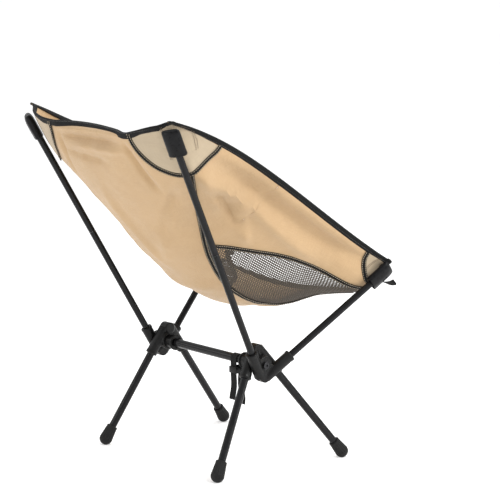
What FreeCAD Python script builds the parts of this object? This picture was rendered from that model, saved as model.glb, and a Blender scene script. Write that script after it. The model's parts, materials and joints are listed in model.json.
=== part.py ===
import FreeCAD, Part
import math
import os
import Sketcher
from FreeCAD import Placement, Rotation, Vector

# Folding camp chair with a sling seat on four poles.
# Frame: +Z up, +Y to the back of the chair, +X to the sitter's left; the feet stand on Z = 0.
# The origin is under the middle of the chair's box. Lengths are in millimetres.

SIZES = {
    # hub and crossbar
    "hub_height": 196.3,        # crossbar axis above the ground
    "hub_back": -6.64,          # crossbar axis behind the origin
    "bar_radius": 8.0,
    "bar_wall": 1.2,
    "bar_half": 124.0,          # half the crossbar's length
    "collar_radius": 12.5,
    "collar_start": 103.0,      # inner end of the collar, from the middle of the chair
    "collar_flange": 15.0,
    "flange_length": 4.0,
    "fit_gap": 0.05,            # radial clearance of every tube in its seat
    "hub_leg_offset": 134.0,    # apex of the leg yoke, from the middle of the chair
    "leg_apex_rise": 34.0,      # apex of the leg axes above the crossbar axis
    "hub_pole_offset": 154.0,   # apex of the pole yoke, from the middle of the chair
    "pole_apex_drop": 30.3,     # apex of the pole axes below the crossbar axis
    "socket_radius": 10.5,
    "socket_lip": 0.7,
    "lip_length": 5.0,
    "leg_socket_back": 67.0,    # socket mouths, along the axis from the apex
    "leg_socket_front": 74.0,
    "pole_socket_back": 64.0,
    "pole_socket_front": 72.0,
    "socket_depth": 30.0,       # how deep a tube sits in its socket
    "boss_radius": 16.5,
    "leg_yoke_face": 124.5,     # inner and outer faces of the yokes' bosses
    "yoke_split": 146.0,
    "pole_yoke_face": 166.0,
    "yoke_gap": 0.3,
    "knuckle_radius": 11.0,
    "screw_radius": 3.0,
    "screw_head_radius": 7.0,
    "screw_head_height": 3.0,
    "screw_length": 55.0,
    "hex_across": 4.0,
    "hex_depth": 2.0,
    "washer_radius": 8.0,
    "washer_thickness": 1.0,
    "plug_length": 16.0,
    # legs
    "foot_back_side": 174.5,    # where the leg axes meet the ground, from the middle of the chair
    "foot_back_reach": 118.0,   # and behind or before the crossbar
    "foot_front_side": 179.5,
    "foot_front_reach": 174.5,
    "leg_radius": 7.2,
    "leg_wall": 0.9,
    "foot_ball_radius": 12.6,
    "foot_sole_drop": 12.0,     # height of the ball's centre, so that the ground cuts a small flat
    "foot_top_radius": 10.0,
    "foot_length": 27.0,        # from the ball's centre to the top of the sleeve
    "foot_floor": 3.0,          # from the ball's centre to the end of the tube
    "plug_flange": 1.2,
    "cord_hole": 2.2,
    # poles
    "tip_back_side": 221.5,     # top ends of the back poles
    "tip_back_reach": 253.7,
    "tip_back_height": 637.0,
    "tip_front_side": 242.3,    # top ends of the front poles
    "tip_front_reach": 229.6,
    "tip_front_height": 362.2,
    "pole_radius": 6.3,
    "pole_wall": 0.8,
    "back_joint": 285.0,        # joint of the two-piece back pole, along its axis from the apex
    "joint_gap": 0.2,
    "ferrule_length": 56.0,
    "ferrule_wall": 0.7,
    "tip_radius": 6.7,
    "tip_length": 9.0,
    "tip_round": 3.0,
    "tip_plug_length": 14.0,
    # shock cords
    "cord_radius": 1.4,
    "cord_bend": 9.0,
    "channel_radius": 3.2,
    "knot_radius": 3.0,
    "cord_end_gap": 6.0,
    # seat sling
    "sling_thickness": 1.0,
    "seam_back": 0.97,          # the seams' place across the sling, as control values from back to front
    "seam_upper": 1.09,
    "seam_lower": -0.33,
    "seam_front": 0.72,
    "mesh_start": 0.50,         # where the netting starts, as a share of the way to the front
    "mesh_rise": 0.44,          # how far the netting stands above the seam at its widest
    "patch_back_middle": 0.84,  # half-moon patch on the back corners, in shares of the sling
    "patch_back_half": 0.37,
    "patch_back_drop": 0.245,
    "patch_front_half": 0.20,
    "patch_front_drop": 0.085,
    "edge_back_side": 218.5,    # corners of the sling
    "edge_back_reach": 250.5,
    "edge_back_height": 654.0,
    "edge_front_side": 244.0,
    "edge_front_reach": 237.5,
    "edge_front_height": 373.5,
    "edge_bow": 10.5,           # how far the side edges draw in
    "edge_rise_back": 64.3,     # how far the side edges stand above a straight line
    "edge_rise_front": 4.8,
    "back_edge_sag": 14.0,
    "back_edge_bow": -4.6,
    "low_back_reach": 298.1,    # control points of the sling's middle line
    "low_back_height": 557.5,
    "low_front_reach": -10.0,
    "low_front_height": 154.7,
    "front_edge_reach": 195.9,
    "front_edge_height": 306.7,
    "belly_back": 2.4,          # how square the sling's section is, from back to front
    "belly_middle": 2.1,
    "belly_front": 2.4,
    "seam_gap": 2.4,
    "binding_width": 11.0,
    "binding_thickness": 2.4,
    "patch_thickness": 1.0,
    "patch_lift": 0.5,
    # pockets over the pole tips
    "boot_radius_wide": 16.0,
    "boot_radius_thin": 9.4,
    "boot_depth": 44.0,
    "boot_top": 5.0,
    "boot_gap": 0.5,
    "tab_width": 10.0,
    "tab_length": 25.0,
    "tab_thickness": 3.0,
    # strap on the crossbar
    "strap_place": 84.0,
    "strap_width": 16.0,
    "strap_thickness": 1.5,
    "strap_gap": 0.4,
    "strap_tail_long": 88.0,
    "strap_tail_short": 76.0,
    "buckle_width": 21.0,
    "buckle_height": 12.0,
    "buckle_thickness": 4.0,
}

doc = FreeCAD.newDocument("camp_chair")
sheet = doc.addObject("Spreadsheet::Sheet", "Sizes")
for row, (alias, number) in enumerate(SIZES.items(), start=1):
    sheet.set(f"A{row}", alias)
    sheet.set(f"B{row}", str(number))
    sheet.setAlias(f"B{row}", alias)
doc.recompute()

SIDES = {"right": -1, "left": 1}
nodes = []


def size(alias):
    return float(sheet.get(alias))


def total(*terms):
    """Add named sizes, a leading minus subtracting one; give the number and its formula."""
    number = 0.0
    formula = ""
    for term in terms:
        name = term.lstrip("-")
        sign = "-" if term.startswith("-") else "+"
        number += -size(name) if sign == "-" else size(name)
        formula += f" {sign} Sizes.{name}"
    return number, formula.removeprefix(" + ")


def origin_plane(body, role):
    return next(item for item in body.Origin.OriginFeatures if item.Role == role)


def new_body(label):
    body = doc.addObject("PartDesign::Body", label)
    body.Label = label
    nodes.append(body)
    return body


def new_sketch(body, name, role):
    sketch = body.newObject("Sketcher::SketchObject", name)
    sketch.AttachmentSupport = (origin_plane(body, role), [""])
    sketch.MapMode = "FlatFace"
    return sketch


def circle(sketch, terms):
    """A circle about the sketch's origin whose radius is bound to the sheet."""
    number, formula = total(*terms)
    index = sketch.addGeometry(Part.Circle(Vector(), Vector(0, 0, 1), number), False)
    sketch.addConstraint(Sketcher.Constraint("Coincident", index, 3, -1, 1))
    place = sketch.addConstraint(Sketcher.Constraint("Radius", index, number))
    sketch.setExpression(f"Constraints[{place}]", formula)


def outline(sketch, corners):
    """A closed outline; each corner is a pair of lists of named sizes, empty for zero."""
    spots = [[total(*terms) for terms in corner] for corner in corners]
    for index, spot in enumerate(spots):
        following = spots[(index + 1) % len(spots)]
        start = Vector(spot[0][0], spot[1][0], 0)
        end = Vector(following[0][0], following[1][0], 0)
        sketch.addGeometry(Part.LineSegment(start, end), False)
    for index in range(len(spots)):
        following = (index + 1) % len(spots)
        sketch.addConstraint(Sketcher.Constraint("Coincident", index, 2, following, 1))
    for index, spot in enumerate(spots):
        for (number, formula), kind, axis in zip(spot, ("DistanceX", "DistanceY"), (-2, -1)):
            if not formula:
                sketch.addConstraint(Sketcher.Constraint("PointOnObject", index, 1, axis))
                continue
            place = sketch.addConstraint(Sketcher.Constraint(kind, -1, 1, index, 1, number))
            sketch.setExpression(f"Constraints[{place}]", formula)


def turned(label, corners, place):
    """A body turned about its own Z; corners are (radius, height) pairs of lists."""
    body = new_body(label)
    sketch = new_sketch(body, label + "_profile", "XZ_Plane")
    outline(sketch, corners)
    turn = body.newObject("PartDesign::Revolution", label + "_turn")
    turn.Profile = sketch
    turn.ReferenceAxis = (sketch, ["V_Axis"])
    turn.Angle = 360.0
    body.Placement = place
    return body


def extruded(label, outer, inner, length, place):
    """A round bar or tube along its own Z."""
    body = new_body(label)
    sketch = new_sketch(body, label + "_section", "XY_Plane")
    circle(sketch, outer)
    if inner:
        circle(sketch, inner)
    pad = body.newObject("PartDesign::Pad", label + "_pad")
    pad.Profile = sketch
    number, formula = total(*length)
    pad.Length = number
    pad.setExpression("Length", formula)
    body.Placement = place
    return body


def shaped(label, shape, place=Placement()):
    """A piece whose shape follows from formulas rather than from a sketch."""
    feature = doc.addObject("Part::Feature", label)
    feature.Label = label
    feature.Shape = shape
    feature.Placement = place
    nodes.append(feature)
    return feature


def along(start, direction):
    return Placement(start, Rotation(Vector(0, 0, 1), direction))


def rod(start, direction, radius, near, far):
    """A round solid on an axis, between two distances from its start."""
    return Part.makeCylinder(radius, far - near, start + direction * near, direction)


class Arm:
    """One tube axis: from its yoke's apex out to a foot or a pole tip."""

    def __init__(self, apex, end):
        self.apex = apex
        self.length = (end - apex).Length
        self.direction = (end - apex) / self.length

    def at(self, distance):
        return self.apex + self.direction * distance

    def place(self, distance):
        return along(self.at(distance), self.direction)


def hub_point(side, offset, rise=0.0):
    return Vector(side * offset, size("hub_back"), size("hub_height") + rise)


def leg_arm(side, end):
    reach = size("foot_back_reach") if end == "back" else -size("foot_front_reach")
    ball = Vector(side * size(f"foot_{end}_side"), size("hub_back") + reach, size("foot_sole_drop"))
    return Arm(hub_point(side, size("hub_leg_offset"), size("leg_apex_rise")), ball)


def pole_arm(side, end):
    reach = size("tip_back_reach") if end == "back" else -size("tip_front_reach")
    tip = Vector(side * size(f"tip_{end}_side"), size("hub_back") + reach, size(f"tip_{end}_height"))
    return Arm(hub_point(side, size("hub_pole_offset"), -size("pole_apex_drop")), tip)


def derived_length(alias, number):
    """Write a length that follows from the sheet's sizes into the sheet, for features to read."""
    row = len(sheet.getUsedCells()) // 2 + 1
    sheet.set(f"A{row}", alias)
    sheet.set(f"B{row}", repr(round(number, 4)))
    sheet.setAlias(f"B{row}", alias)
    doc.recompute()


# ---------------------------------------------------------------- crossbar and hubs


def make_crossbar():
    extruded("crossbar", ["bar_radius"], ["bar_radius", "-bar_wall"], ["bar_half", "bar_half"],
             along(hub_point(-1, size("bar_half")), Vector(1, 0, 0)))


def make_hub_hardware(name, side):
    outward = Vector(side, 0, 0)
    sleeve = ["leg_yoke_face", "-collar_start", "-yoke_gap"]
    turned(f"hub_collar_{name}", [
        (["bar_radius", "fit_gap"], []),
        (["collar_flange"], []),
        (["collar_flange"], ["flange_length"]),
        (["collar_radius"], ["flange_length"]),
        (["collar_radius"], sleeve),
        (["bar_radius", "fit_gap"], sleeve),
    ], along(hub_point(side, size("collar_start")), outward))
    turned(f"bar_plug_{name}", [
        (["screw_radius", "fit_gap"], []),
        (["bar_radius", "-bar_wall", "-fit_gap"], []),
        (["bar_radius", "-bar_wall", "-fit_gap"], ["plug_length"]),
        (["screw_radius", "fit_gap"], ["plug_length"]),
    ], along(hub_point(side, size("bar_half") - size("plug_length")), outward))


def make_screw(side):
    """A hub screw with a rounded head and a hexagon recess, on the crossbar's axis."""
    outward = Vector(side, 0, 0)
    face = hub_point(side, size("pole_yoke_face"))
    seat = size("washer_thickness")
    top = seat + size("screw_head_height")
    shank = rod(face, outward, size("screw_radius"), seat - size("screw_length"), seat)
    head = rod(face, outward, size("screw_head_radius"), seat, top)
    rim = [edge for edge in head.Edges if isinstance(edge.Curve, Part.Circle)
           and abs(edge.CenterOfMass.x - (face.x + side * top)) < 1e-6]
    head = head.makeFillet(size("screw_head_height") * 0.5, rim)
    corners = []
    for turn in range(7):
        angle = math.radians(60 * turn)
        spoke = Vector(0, math.cos(angle), math.sin(angle)) * (size("hex_across") / math.sqrt(3))
        corners.append(face + spoke + outward * (top - size("hex_depth")))
    recess = Part.Face(Part.makePolygon(corners)).extrude(outward * size("hex_depth"))
    return shank.fuse(head).cut(recess).Solids[0]


def make_washer(side):
    outward = Vector(side, 0, 0)
    face = hub_point(side, size("pole_yoke_face"))
    ring = rod(face, outward, size("washer_radius"), 0, size("washer_thickness"))
    return ring.cut(rod(face, outward, size("screw_radius") + size("fit_gap"), 0, size("washer_thickness")))


def bent_rod(arms, ends, radius):
    """A round solid down one arm's axis, round the apex and out along the other."""
    first, second = arms
    bend = size("cord_bend")
    turn = math.pi - first.direction.getAngle(second.direction)
    tangent = bend * math.tan(turn / 2)
    inward = (first.direction + second.direction).normalize()
    middle = first.apex + inward * (bend / math.cos(turn / 2) - bend)
    path = Part.Wire([
        Part.LineSegment(first.at(ends[0]), first.at(tangent)).toShape(),
        Part.Arc(first.at(tangent), middle, second.at(tangent)).toShape(),
        Part.LineSegment(second.at(tangent), second.at(ends[1])).toShape(),
    ])
    ring = Part.Wire(Part.makeCircle(radius, first.at(ends[0]), first.direction))
    return path.makePipeShell([ring], True, False)


def make_yoke(side, arms, mouths, faces, tube_radius):
    """A moulded yoke: two tube sockets, a boss on the crossbar's axis and a web between them."""
    outward = Vector(side, 0, 0)
    width = faces[1] - faces[0]
    crown = arms[0].apex + (arms[0].direction + arms[1].direction).normalize() * size("cord_bend")
    crown.x = side * faces[0]
    body = rod(hub_point(side, faces[0]), outward, size("boss_radius"), 0, width)
    body = body.fuse(rod(crown, outward, size("knuckle_radius"), 0, width))
    lip_radius = size("socket_radius") + size("socket_lip")
    for arm, mouth in zip(arms, mouths):
        body = body.fuse(rod(arm.apex, arm.direction, size("socket_radius"), size("cord_bend"), mouth))
        body = body.fuse(rod(arm.apex, arm.direction, lip_radius, mouth - size("lip_length"), mouth))
    web_start = side * (faces[0] + width * 0.25)
    web_corners = [crown, arms[0].at(mouths[0] * 0.6), hub_point(side, 0), arms[1].at(mouths[1] * 0.6), crown]
    flat_corners = [Vector(web_start, corner.y, corner.z) for corner in web_corners]
    body = body.fuse(Part.Face(Part.makePolygon(flat_corners)).extrude(outward * (width * 0.5)))
    floors = [mouth - size("socket_depth") for mouth in mouths]
    for arm, mouth, floor in zip(arms, mouths, floors):
        body = body.cut(rod(arm.apex, arm.direction, tube_radius + size("fit_gap"), floor, mouth))
    body = body.cut(bent_rod(arms, [floor + 1 for floor in floors], size("channel_radius")))
    return body.cut(rod(hub_point(side, faces[0]), outward, size("screw_radius") + size("fit_gap"), 0, width))


def make_hub(name, side):
    legs = [leg_arm(side, "back"), leg_arm(side, "front")]
    poles = [pole_arm(side, "back"), pole_arm(side, "front")]
    leg_mouths = [size("leg_socket_back"), size("leg_socket_front")]
    pole_mouths = [size("pole_socket_back"), size("pole_socket_front")]
    split = size("yoke_split")
    leg_faces = [size("leg_yoke_face"), split - size("yoke_gap")]
    leg_yoke = make_yoke(side, legs, leg_mouths, leg_faces, size("leg_radius"))
    pole_yoke = make_yoke(side, poles, pole_mouths, [split, size("pole_yoke_face")], size("pole_radius"))
    clear = size("socket_radius") + size("socket_lip") + size("yoke_gap")
    for arm, mouth in zip(poles, pole_mouths):
        leg_yoke = leg_yoke.cut(rod(arm.apex, arm.direction, clear, 0, mouth))
    for arm, mouth in zip(legs, leg_mouths):
        pole_yoke = pole_yoke.cut(rod(arm.apex, arm.direction, size("leg_radius") + 1, 0, mouth + 10))
    leg_yoke = max(leg_yoke.Solids, key=lambda solid: solid.Volume)
    pole_yoke = max(pole_yoke.cut(leg_yoke).Solids, key=lambda solid: solid.Volume)
    shaped(f"leg_yoke_{name}", leg_yoke)
    shaped(f"pole_yoke_{name}", pole_yoke)


def make_cord(label, arms, ends):
    """A shock cord from one tube's end, through the yoke, to the other's, knotted at both ends."""
    cord = bent_rod(arms, ends, size("cord_radius"))
    for arm, end in zip(arms, ends):
        cord = cord.fuse(Part.makeSphere(size("knot_radius"), arm.at(end)))
    shaped(label, cord)


# ---------------------------------------------------------------- legs and poles


def make_leg(name, side, end):
    """A leg tube with the plug at its top; gives its axis and the distance to the tube's foot end."""
    arm = leg_arm(side, end)
    label = f"{end}_leg_{name}"
    top = size(f"leg_socket_{end}") - size("socket_depth")
    foot_end = arm.length - size("foot_floor")
    derived_length(f"{label}_length", foot_end - top - size("plug_flange"))
    extruded(f"{label}_tube", ["leg_radius"], ["leg_radius", "-leg_wall"], [f"{label}_length"],
             arm.place(top + size("plug_flange")))
    turned(f"{label}_end_plug", [
        (["cord_hole"], []),
        (["leg_radius"], []),
        (["leg_radius"], ["plug_flange"]),
        (["leg_radius", "-leg_wall"], ["plug_flange"]),
        (["leg_radius", "-leg_wall"], ["plug_length"]),
        (["cord_hole"], ["plug_length"]),
    ], arm.place(top))
    shaped(f"{end}_foot_{name}", make_foot(arm, foot_end))
    return arm, foot_end


def make_foot(arm, foot_end):
    """A rubber foot: a ball with a small flat on the ground, and a tapered sleeve up the tube."""
    sleeve = Part.makeCone(size("foot_ball_radius"), size("foot_top_radius"), size("foot_length"),
                           arm.at(arm.length), arm.direction * -1)
    foot = Part.makeSphere(size("foot_ball_radius"), arm.at(arm.length)).fuse(sleeve)
    seat = rod(arm.apex, arm.direction, size("leg_radius") + size("fit_gap"),
               arm.length - size("foot_length") - 1, foot_end)
    foot = foot.cut(seat)
    reach = size("foot_ball_radius") * 3
    sole = arm.at(arm.length)
    ground = Part.makeBox(reach, reach, reach, Vector(sole.x - reach / 2, sole.y - reach / 2, -reach))
    return foot.cut(ground)


def pole_tube(label, arm, start, end):
    derived_length(f"{label}_length", end - start)
    extruded(label, ["pole_radius"], ["pole_radius", "-pole_wall"], [f"{label}_length"], arm.place(start))


def make_tip(label, arm):
    """A rounded plastic end in the top of a pole."""
    crown = ["tip_plug_length", "tip_length"]
    turned(label, [
        (["cord_hole"], []),
        (["pole_radius", "-pole_wall"], []),
        (["pole_radius", "-pole_wall"], ["tip_plug_length"]),
        (["tip_radius"], ["tip_plug_length"]),
        (["tip_radius"], crown + ["-tip_round"]),
        (["tip_radius", "-tip_round"], crown),
        (["cord_hole"], crown),
    ], arm.place(arm.length - size("tip_length") - size("tip_plug_length")))


def make_back_pole(name, side):
    arm = pole_arm(side, "back")
    joint = size("back_joint")
    half = size("ferrule_length") / 2
    pole_tube(f"back_pole_lower_{name}", arm, size("pole_socket_back") - size("socket_depth"), joint)
    pole_tube(f"back_pole_upper_{name}", arm, joint + size("joint_gap"), arm.length - size("tip_length"))
    bore = ["pole_radius", "-pole_wall", "-fit_gap"]
    extruded(f"back_pole_ferrule_{name}", bore, bore + ["-ferrule_wall"], ["ferrule_length"],
             arm.place(joint - half))
    make_tip(f"back_pole_tip_{name}", arm)
    return arm


def make_front_pole(name, side):
    arm = pole_arm(side, "front")
    pole_tube(f"front_pole_{name}", arm, size("pole_socket_front") - size("socket_depth"),
              arm.length - size("tip_length"))
    make_tip(f"front_pole_tip_{name}", arm)
    return arm


# ---------------------------------------------------------------- sling seat


def bezier(controls, share):
    rest = 1 - share
    return (rest ** 3 * controls[0] + 3 * rest * rest * share * controls[1]
            + 3 * rest * share * share * controls[2] + share ** 3 * controls[3])


def sling_point(across, share):
    """The sling's middle surface; across runs from -1 to 1, share from the back edge to the front."""
    edge_x = size("edge_back_side") + (size("edge_front_side") - size("edge_back_side")) * share
    edge_x -= size("edge_bow") * 4 * share * (1 - share)
    back_y = size("hub_back") + size("edge_back_reach")
    front_y = size("hub_back") - size("edge_front_reach")
    edge_y = back_y + (front_y - back_y) * share
    back_z = size("edge_back_height")
    front_z = size("edge_front_height")
    drop = (front_z - back_z) / 3
    edge_z = bezier([back_z, back_z + drop + size("edge_rise_back"),
                     front_z - drop + size("edge_rise_front"), front_z], share)
    middle_y = bezier([back_y + size("back_edge_bow"), size("hub_back") + size("low_back_reach"),
                       size("hub_back") + size("low_front_reach"),
                       size("hub_back") - size("front_edge_reach")], share)
    middle_z = bezier([back_z - size("back_edge_sag"), size("low_back_height"),
                       size("low_front_height"), size("front_edge_height")], share)
    power = ((1 - share) ** 2 * size("belly_back") + 2 * (1 - share) * share * size("belly_middle")
             + share ** 2 * size("belly_front"))
    depth = 1 - abs(across) ** power
    return Vector(edge_x * across, edge_y + (middle_y - edge_y) * depth, edge_z + (middle_z - edge_z) * depth)


def sling_normal(across, share):
    """The direction away from the sitter."""
    step = 0.004
    low, high = max(share - step, 0), min(share + step, 1)
    sideways = sling_point(across + step, share) - sling_point(across - step, share)
    forward = sling_point(across, high) - sling_point(across, low)
    return sideways.cross(forward).normalize()


def seam_across(share):
    """Where the seam between the middle panel and a wing lies."""
    return bezier([size("seam_back"), size("seam_upper"), size("seam_lower"), size("seam_front")], share)


def mesh_across(share):
    """Where the netting meets the wing."""
    start = size("mesh_start")
    if share < start:
        return seam_across(share)
    return seam_across(share) + size("mesh_rise") * math.sin(math.pi * (share - start) / (1 - start)) ** 0.8


def inset(across, share, distance):
    """A place moved sideways along the sling by a length."""
    step = 0.01
    scale = (sling_point(across + step, share) - sling_point(across - step, share)).Length / (2 * step)
    return across + distance / scale


def sheet_solid(rows, lift, thickness):
    """A thin solid along the sling; rows are lists of (across, share) pairs."""
    faces = []
    skins = []
    for level in (lift - thickness / 2, lift + thickness / 2):
        grid = [[sling_point(*spot) + sling_normal(*spot) * level for spot in row] for row in rows]
        skin = Part.BSplineSurface()
        skin.interpolate(grid)
        skins.append(skin)
        faces.append(skin.toShape())
    for pick in (lambda skin: skin.uIso(skin.bounds()[0]), lambda skin: skin.uIso(skin.bounds()[1]),
                 lambda skin: skin.vIso(skin.bounds()[2]), lambda skin: skin.vIso(skin.bounds()[3])):
        faces.append(Part.makeRuledSurface(pick(skins[0]).toShape(), pick(skins[1]).toShape()))
    shell = Part.makeShell(faces)
    shell.sewShape()
    solid = Part.Solid(shell)
    if solid.Volume < 0:
        solid.reverse()
    return solid


def spread(low, high, count):
    return [low + (high - low) * index / (count - 1) for index in range(count)]


def panel(across_low, across_high, shares, steps):
    """Grid rows between two seams, each given as a function of the share."""
    rows = []
    for share in shares:
        rows.append([(across, share) for across in spread(across_low(share), across_high(share), steps)])
    return rows


def binding_inner(share):
    return inset(1, share, -size("binding_width"))


def edge_band():
    """The binding's width as a share of the sling's middle line, with the seam gap."""
    line = [sling_point(0, share) for share in spread(0, 1, 41)]
    length = sum((line[index + 1] - line[index]).Length for index in range(40))
    return size("binding_width") / length, size("seam_gap") / 2 / length


def make_middle_panel():
    gap = size("seam_gap") / 2
    band, slack = edge_band()

    def side_edge(share):
        return min(inset(seam_across(share), share, -gap), inset(binding_inner(share), share, -2 * gap))

    rows = panel(lambda share: -side_edge(share), side_edge,
                 spread(band + slack, 1 - band - slack, 25), 13)
    shaped("middle_panel", sheet_solid(rows, 0, size("sling_thickness")))


def mirrored(rows, side):
    return [[(side * across, share) for across, share in row] for row in rows]


def wing_start():
    """Where the seam has come far enough in from the edge for the wing to begin."""
    clear = size("binding_width") * 1.5
    return next(share for share in spread(0, 1, 201) if inset(seam_across(share), share, clear) < 1)


def make_wing(name, side):
    thickness = size("sling_thickness")
    gap = size("seam_gap") / 2
    band, slack = edge_band()
    high = 1 - band - slack
    wing = panel(lambda share: inset(mesh_across(share), share, gap),
                 lambda share: inset(binding_inner(share), share, -gap), spread(wing_start(), high, 17), 6)
    shaped(f"wing_{name}", sheet_solid(mirrored(wing, side), 0, thickness))
    start = size("mesh_start")
    margin = 0.05
    mesh = panel(lambda share: inset(seam_across(share), share, gap),
                 lambda share: inset(mesh_across(share), share, -gap), spread(start + margin, 1 - margin, 9), 4)
    shaped(f"mesh_{name}", sheet_solid(mirrored(mesh, side), 0, thickness))


def make_bindings():
    """The tape folded over the sling's whole edge, as four strips."""
    thickness = size("binding_thickness")
    band = edge_band()[0]
    for name, side in SIDES.items():
        rows = panel(binding_inner, lambda share: 1, spread(0, 1, 15), 3)
        shaped(f"edge_binding_{name}", sheet_solid(mirrored(rows, side), 0, thickness))
    gap = size("seam_gap") / 2
    for name, low, high in (("back", 0, band), ("front", 1 - band, 1)):
        rows = panel(lambda share: -inset(binding_inner(share), share, -gap),
                     lambda share: inset(binding_inner(share), share, -gap), spread(low, high, 3), 13)
        shaped(f"edge_binding_{name}", sheet_solid(rows, 0, thickness))


def make_patch(name, side, end):
    """A half-moon of canvas on the outside of one corner."""
    rows = []
    if end == "back":
        middle, half, drop = size("patch_back_middle"), size("patch_back_half"), size("patch_back_drop")
        for across in spread(middle - half * 0.97, 0.985, 9):
            reach = drop * math.sqrt(1 - min(abs(middle - across) / half, 0.985) ** 2)
            rows.append([(across, share) for share in spread(0.012, 0.012 + reach, 5)])
    else:
        half, drop = size("patch_front_half"), size("patch_front_drop")
        for across in spread(1 - half * 0.97, 0.985, 7):
            reach = drop * math.sqrt(1 - min(abs(1 - across) / half, 0.985) ** 2)
            rows.append([(across, share) for share in spread(0.985 - reach, 0.985, 5)])
    lift = size("binding_thickness") / 2 + size("patch_lift") + size("patch_thickness") / 2
    shaped(f"{end}_patch_{name}", sheet_solid(mirrored(rows, side), lift, size("patch_thickness")))


def make_boot(name, side, end, arm):
    """A closed pocket that slips over a pole tip, flat against its patch."""
    wide, thin = size("boot_radius_wide"), size("boot_radius_thin")
    sections = [(-size("boot_depth"), 0.94, 0.94), (-size("boot_depth") * 0.5, 1, 1),
                (-size("tip_round"), 0.95, 0.95), (size("boot_top"), 0.6, 0.55)]
    wires = []
    for height, wide_share, thin_share in sections:
        ellipse = Part.Ellipse(Vector(0, 0, height), wide * wide_share, thin * thin_share)
        wires.append(Part.Wire(ellipse.toShape()))
    boot = Part.makeLoft(wires, True)
    cavity = Part.makeCylinder(size("tip_radius") + size("boot_gap"), size("boot_depth") + size("boot_gap") + 1,
                               Vector(0, 0, -size("boot_depth") - 1))
    boot = boot.cut(cavity)
    corner = (side * 0.9, 0.06 if end == "back" else 0.95)
    outward = sling_normal(*corner)
    turn = Rotation(outward.cross(arm.direction), outward, arm.direction, "ZYX")
    shaped(f"{end}_boot_{name}", boot, Placement(arm.at(arm.length), turn))


def make_tab(name, side, arm):
    """A short webbing tab sewn under a front pocket, to pull it off its pole."""
    root = arm.at(arm.length - size("boot_depth") * 0.5)
    start = root + Vector(-size("tab_width") / 2, -size("tab_length") - size("boot_radius_thin") - 1, -15)
    shaped(f"pull_tab_{name}", Part.makeBox(size("tab_width"), size("tab_length"), size("tab_thickness"), start))


# ---------------------------------------------------------------- strap


def make_strap():
    """A webbing strap over the crossbar, with two free tails and a keeper that joins them."""
    side = SIDES["right"]
    width, thickness = size("strap_width"), size("strap_thickness")
    inner = size("bar_radius") + size("strap_gap")
    outer = inner + thickness
    start = hub_point(side, size("strap_place") + width / 2)
    across = Vector(-side, 0, 0)
    ring = rod(start, across, outer, 0, width).cut(rod(start, across, inner, 0, width))
    lower = Part.makeBox(width, 2 * outer, outer, Vector(min(start.x, start.x + across.x * width),
                         start.y - outer, start.z - outer))
    strap = ring.cut(lower)
    for reach, length in ((inner, size("strap_tail_short")), (-outer, size("strap_tail_long"))):
        tail = Part.makeBox(width, thickness, length, Vector(min(start.x, start.x + across.x * width),
                            start.y + reach, start.z - length))
        strap = strap.fuse(tail)
    shaped("cinch_strap", strap)
    half_wide, half_deep = size("buckle_width") / 2, outer + size("buckle_thickness") / 2
    middle = hub_point(side, size("strap_place"), -inner - size("buckle_height"))
    frame = Part.makeBox(2 * half_wide, 2 * half_deep, size("buckle_height"),
                         middle + Vector(-half_wide, -half_deep, -size("buckle_height") / 2))
    clear = size("strap_gap") / 2
    hole = Part.makeBox(width + 2 * clear, 2 * (outer + clear), size("buckle_height"),
                        middle + Vector(-width / 2 - clear, -outer - clear, -size("buckle_height") / 2))
    shaped("strap_keeper", frame.cut(hole))


# ---------------------------------------------------------------- assembly


def main():
    make_crossbar()
    for name, side in SIDES.items():
        make_hub_hardware(name, side)
        make_hub(name, side)
        leg_arms, leg_ends = [], []
        for end in ("back", "front"):
            arm, foot_end = make_leg(name, side, end)
            leg_arms.append(arm)
            leg_ends.append(foot_end - size("cord_end_gap"))
        make_cord(f"leg_cord_{name}", leg_arms, leg_ends)
        pole_arms = [make_back_pole(name, side), make_front_pole(name, side)]
        plug = size("tip_length") + size("tip_plug_length") + size("cord_end_gap")
        make_cord(f"pole_cord_{name}", pole_arms, [arm.length - plug for arm in pole_arms])
        make_wing(name, side)
        for end, arm in zip(("back", "front"), pole_arms):
            make_patch(name, side, end)
            make_boot(name, side, end, arm)
        make_tab(name, side, pole_arms[1])
    shaped("hub_screws", Part.makeCompound([make_screw(side) for side in SIDES.values()]))
    shaped("hub_washers", Part.makeCompound([make_washer(side) for side in SIDES.values()]))
    make_middle_panel()
    make_bindings()
    make_strap()

    doc.recompute()
    for item in doc.Objects:
        if "Invalid" in item.State or "Error" in item.State:
            raise RuntimeError(f"{item.Label} failed: {item.State}")
    for node in nodes:
        if node.Shape.isNull() or not node.Shape.isValid():
            raise RuntimeError(f"{node.Label} has no valid shape")
    os.makedirs("parts", exist_ok=True)
    for node in nodes:
        node.Shape.exportStep(f"parts/{node.Label}.step")
    print(len(nodes), "nodes")


main()
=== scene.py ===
"""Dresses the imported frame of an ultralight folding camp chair: cloth, netting, webbing, tubes and hubs."""

import json
import math

import bmesh
import bpy
import numpy as np
from mathutils import Matrix, Vector, noise

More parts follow.
